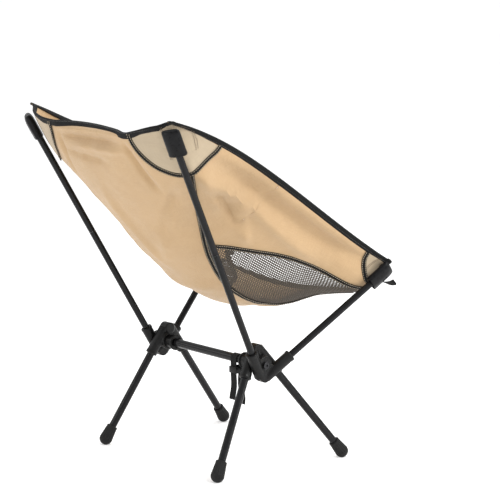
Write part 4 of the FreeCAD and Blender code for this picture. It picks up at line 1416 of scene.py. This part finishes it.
class CHAIR_OT_collars(bpy.types.Operator):
    """Turn the collars that hold the crossbar, with their dark rings"""

    bl_idname = "chair.collars"
    bl_label = "Hub collars"

    def execute(self, context):
        for name, side in SIDES.items():
            start, outward = hub_point(side, COLLAR_START), Vector((side, 0, 0))
            length = COLLAR_END - COLLAR_START
            bore = BAR_RADIUS + 0.00005
            profile = [(0.0030, bore), (0.0030, 0.0106), (0.0, 0.0110), (0.0, COLLAR_FLANGE - 0.0012)]
            for turn in spread(0, math.pi / 2, 5):
                profile.append((0.0012 - 0.0012 * math.cos(turn), COLLAR_FLANGE - 0.0012 + 0.0012 * math.sin(turn)))
            profile += [(FLANGE_LENGTH - 0.0006, COLLAR_FLANGE), (FLANGE_LENGTH, COLLAR_FLANGE - 0.0006),
                        (FLANGE_LENGTH, COLLAR_RADIUS + 0.0006), (FLANGE_LENGTH + 0.0006, COLLAR_RADIUS),
                        (length - 0.0004, COLLAR_RADIUS), (length, COLLAR_RADIUS - 0.0004), (length, bore)]
            piece = turned_piece(f"collar_turned_{name}", start, outward, profile,
                                 context.scene.chair_frame.tube_sides, "plastic", closed=True)
            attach(piece, "frame")
            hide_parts(f"hub_collar_{name}")
        return {"FINISHED"}


class CHAIR_OT_yokes(bpy.types.Operator):
    """Soften the moulded yokes from their frame shapes"""

    bl_idname = "chair.yokes"
    bl_label = "Yokes"

    def execute(self, context):
        grain = context.scene.chair_frame.yoke_grain
        for node, source in sorted(frame["nodes"].items()):
            if "_yoke_" not in node:
                continue
            shape = bmesh.new()
            shape.from_mesh(source.data)
            bmesh.ops.remove_doubles(shape, verts=shape.verts, dist=1e-5)
            mesh = bpy.data.meshes.new(node + "_rough")
            shape.to_mesh(mesh)
            shape.free()
            rough = bpy.data.objects.new(node + "_rough", mesh)
            context.scene.collection.objects.link(rough)
            skin = rough.modifiers.new("skin", "REMESH")
            skin.mode, skin.voxel_size, skin.adaptivity = "VOXEL", grain, 0.0
            even = rough.modifiers.new("even", "SMOOTH")
            even.factor, even.iterations = 0.5, 20
            graph = context.evaluated_depsgraph_get()
            made = bmesh.new()
            made.from_mesh(rough.evaluated_get(graph).to_mesh())
            bpy.data.objects.remove(rough)
            piece = add_piece(node.replace("_yoke_", "_yoke_moulded_"), made, "plastic", sharp=180)
            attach(piece, body_of(source)[0])
            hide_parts(node)
        return {"FINISHED"}


class CHAIR_OT_feet(bpy.types.Operator):
    """Turn the rubber feet and flute their sleeves"""

    bl_idname = "chair.feet"
    bl_label = "Feet"

    def execute(self, context):
        for name, side in SIDES.items():
            for end in ENDS:
                piece = self.foot(f"{end}_foot_moulded_{name}", leg_arm(side, end))
                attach(piece, f"{end}_leg_{name}")
                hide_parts(f"{end}_foot_{name}")
        return {"FINISHED"}

    def foot(self, name, arm):
        """A ball under a tapered sleeve with flutes, cut flat where it stands."""
        end, bore = arm.length, LEG_RADIUS + 0.00005
        profile = []
        for turn in spread(-math.pi / 2, math.pi * 0.04, 18):
            profile.append((end - FOOT_BALL * math.sin(turn), max(FOOT_BALL * math.cos(turn), 0.0)))
        for share in spread(0.06, 0.88, 12):
            profile.append((end - FOOT_LENGTH * share, mix(FOOT_BALL, FOOT_TOP, share)))
        profile += [(end - FOOT_LENGTH + 0.0022, FOOT_TOP + 0.0005), (end - FOOT_LENGTH + 0.0008, FOOT_TOP + 0.0004),
                    (end - FOOT_LENGTH, FOOT_TOP - 0.0006), (end - FOOT_LENGTH, bore),
                    (end - FOOT_FLOOR, bore), (end - FOOT_FLOOR, 0.0)]
        shape = bmesh.new()
        rows = [shape.verts.new((radius, 0, distance)) for distance, radius in profile]
        edges = [shape.edges.new(pair) for pair in zip(rows, rows[1:])]
        bmesh.ops.spin(shape, geom=rows + edges, axis=(0, 0, 1), cent=(0, 0, 0), steps=96, angle=math.tau,
                       use_merge=True)
        bmesh.ops.remove_doubles(shape, verts=shape.verts, dist=1e-6)
        for vert in shape.verts:
            radius = math.hypot(vert.co.x, vert.co.y)
            way = (end - vert.co.z) / FOOT_LENGTH
            if radius > bore + 0.0008 and -0.2 < way < 0.86:
                groove = 0.5 + 0.5 * math.cos(16 * math.atan2(vert.co.y, vert.co.x))
                fade = min(1.0, (way + 0.2) / 0.2, (0.86 - way) / 0.10)
                depth = 0.00075 * fade * groove**3
                vert.co.x *= 1 - depth / radius
                vert.co.y *= 1 - depth / radius
        bmesh.ops.recalc_face_normals(shape, faces=shape.faces)
        shape.transform(Matrix.Translation(arm.apex) @ arm.direction.to_track_quat("Z", "Y").to_matrix().to_4x4())
        ground = bmesh.ops.bisect_plane(shape, geom=shape.verts[:] + shape.edges[:] + shape.faces[:],
                                        plane_co=(0, 0, 0.0), plane_no=(0, 0, -1), clear_outer=True)
        cut = [item for item in ground["geom_cut"] if isinstance(item, bmesh.types.BMEdge)]
        bmesh.ops.edgeloop_fill(shape, edges=cut)
        bmesh.ops.recalc_face_normals(shape, faces=shape.faces)
        return add_piece(name, shape, "rubber", sharp=60)


class CHAIR_OT_fasteners(bpy.types.Operator):
    """Finish the hub screws, the washers and the bar plugs"""

    bl_idname = "chair.fasteners"
    bl_label = "Fasteners"

    def execute(self, context):
        finishes = {"hub_screws": "steel", "hub_washers": "steel", "bar_plug_right": "end_plastic",
                    "bar_plug_left": "end_plastic"}
        for node, finish in finishes.items():
            piece = frame["nodes"][node]
            piece.data.materials.clear()
            piece.data.materials.append(FINISHES[finish])
        return {"FINISHED"}


class CHAIR_OT_strap(bpy.types.Operator):
    """Hang the webbing strap and its keeper on the crossbar"""

    bl_idname = "chair.strap"
    bl_label = "Strap"

    def execute(self, context):
        strap = self.strap("strap_webbing")
        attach(strap, body_of(frame["nodes"]["cinch_strap"])[0])
        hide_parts("cinch_strap")
        keeper = self.keeper("keeper_moulded")
        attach(keeper, body_of(frame["nodes"]["strap_keeper"])[0])
        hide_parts("strap_keeper")
        return {"FINISHED"}

    def strap(self, name):
        """One length of webbing: up one tail, over the bar and down the other."""
        middle = hub_point(-1, STRAP_PLACE)
        radius = BAR_RADIUS + STRAP_GAP + STRAP_THICKNESS / 2
        points = [Vector((0, radius, -STRAP_TAILS[0] * share)) for share in spread(1, 0.02, 22)]
        points += [Vector((0, radius * math.cos(turn), radius * math.sin(turn))) for turn in spread(0, math.pi, 20)]
        points += [Vector((0, -radius, -STRAP_TAILS[1] * share)) for share in spread(0.02, 1, 24)]
        columns, rows = 6, len(points) - 1
        shape, sideways, forward = lattice(columns, rows)
        line = np.array([middle + point for point in points])
        row = np.round(forward * rows).astype(int)
        spots = line[row].copy()
        spots[:, 0] += (sideways - 0.5) * STRAP_WIDTH
        hang = np.clip((middle.z - 0.024 - spots[:, 2]) / 0.06, 0, 1)
        back = spots[:, 1] > HUB_BACK
        spots[:, 1] += np.where(back, -1, 1) * (0.0035 * hang * np.sin(hang * 5.5))
        lay_out(shape, spots, columns, rows)
        bmesh.ops.recalc_face_normals(shape, faces=shape.faces)
        piece = add_piece(name, shape, "webbing", sharp=80)
        thicken(piece, STRAP_THICKNESS)
        return piece

    def keeper(self, name):
        """A moulded frame round both tails, with rounded corners."""
        low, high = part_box("strap_keeper")
        middle, size = (low + high) / 2, high - low
        shape = bmesh.new()
        bmesh.ops.create_cube(shape, size=1, matrix=Matrix.Translation(middle) @ Matrix.Diagonal((*size, 1)))
        for face in [face for face in shape.faces if abs(face.normal.z) > 0.9]:
            bmesh.ops.inset_region(shape, faces=[face], thickness=0.0022, use_even_offset=True)
        caps = [face for face in shape.faces if abs(face.normal.z) > 0.9
                and (face.calc_center_median() - middle).to_2d().length < 1e-4]
        bmesh.ops.bridge_loops(shape, edges=[edge for face in caps for edge in face.edges])
        bmesh.ops.delete(shape, geom=[face for face in caps if face.is_valid], context="FACES_ONLY")
        bmesh.ops.recalc_face_normals(shape, faces=shape.faces)
        bmesh.ops.bevel(shape, geom=shape.edges[:], offset=0.0009, affect="EDGES", segments=3, profile=0.5,
                        material=-1)
        return add_piece(name, shape, "plastic", sharp=60)


# ---------------------------------------------------------------- add-on


GROUPS = (ClothSettings, FrameSettings, StageSettings)
STEPS = (
    CHAIR_OT_stage, CHAIR_OT_shock_cords, CHAIR_OT_sling_panels, CHAIR_OT_netting, CHAIR_OT_edge_bindings,
    CHAIR_OT_seam_tapes, CHAIR_OT_edge_stitches, CHAIR_OT_corner_patches, CHAIR_OT_pockets, CHAIR_OT_pull_tabs,
    CHAIR_OT_tubes, CHAIR_OT_tube_ends, CHAIR_OT_collars, CHAIR_OT_yokes, CHAIR_OT_feet, CHAIR_OT_fasteners,
    CHAIR_OT_strap,
)


class CHAIR_PT_parts(bpy.types.Panel):
    """Lists the chair's settings and its pieces"""

    bl_idname = "CHAIR_PT_parts"
    bl_label = "Camp Chair"
    bl_space_type = "VIEW_3D"
    bl_region_type = "UI"
    bl_category = "Camp Chair"

    def draw(self, context):
        for group in (context.scene.chair_cloth, context.scene.chair_frame, context.scene.chair_stage):
            box = self.layout.box()
            for setting in group.bl_rna.properties.keys():
                if setting not in ("rna_type", "name"):
                    box.prop(group, setting)
        for step in STEPS:
            self.layout.operator(step.bl_idname)


def register():
    for item in (*GROUPS, *STEPS, CHAIR_PT_parts):
        bpy.utils.register_class(item)
    bpy.types.Scene.chair_cloth = bpy.props.PointerProperty(type=ClothSettings)
    bpy.types.Scene.chair_frame = bpy.props.PointerProperty(type=FrameSettings)
    bpy.types.Scene.chair_stage = bpy.props.PointerProperty(type=StageSettings)


def unregister():
    for name in ("chair_cloth", "chair_frame", "chair_stage"):
        delattr(bpy.types.Scene, name)
    for item in reversed((*GROUPS, *STEPS, CHAIR_PT_parts)):
        bpy.utils.unregister_class(item)


def main():
    register()
    make_finishes(bpy.context.scene.chair_cloth, bpy.context.scene.chair_frame)
    for step in STEPS:
        package, action = step.bl_idname.split(".")
        getattr(getattr(bpy.ops, package), action)()


if __name__ == "__main__":
    main()
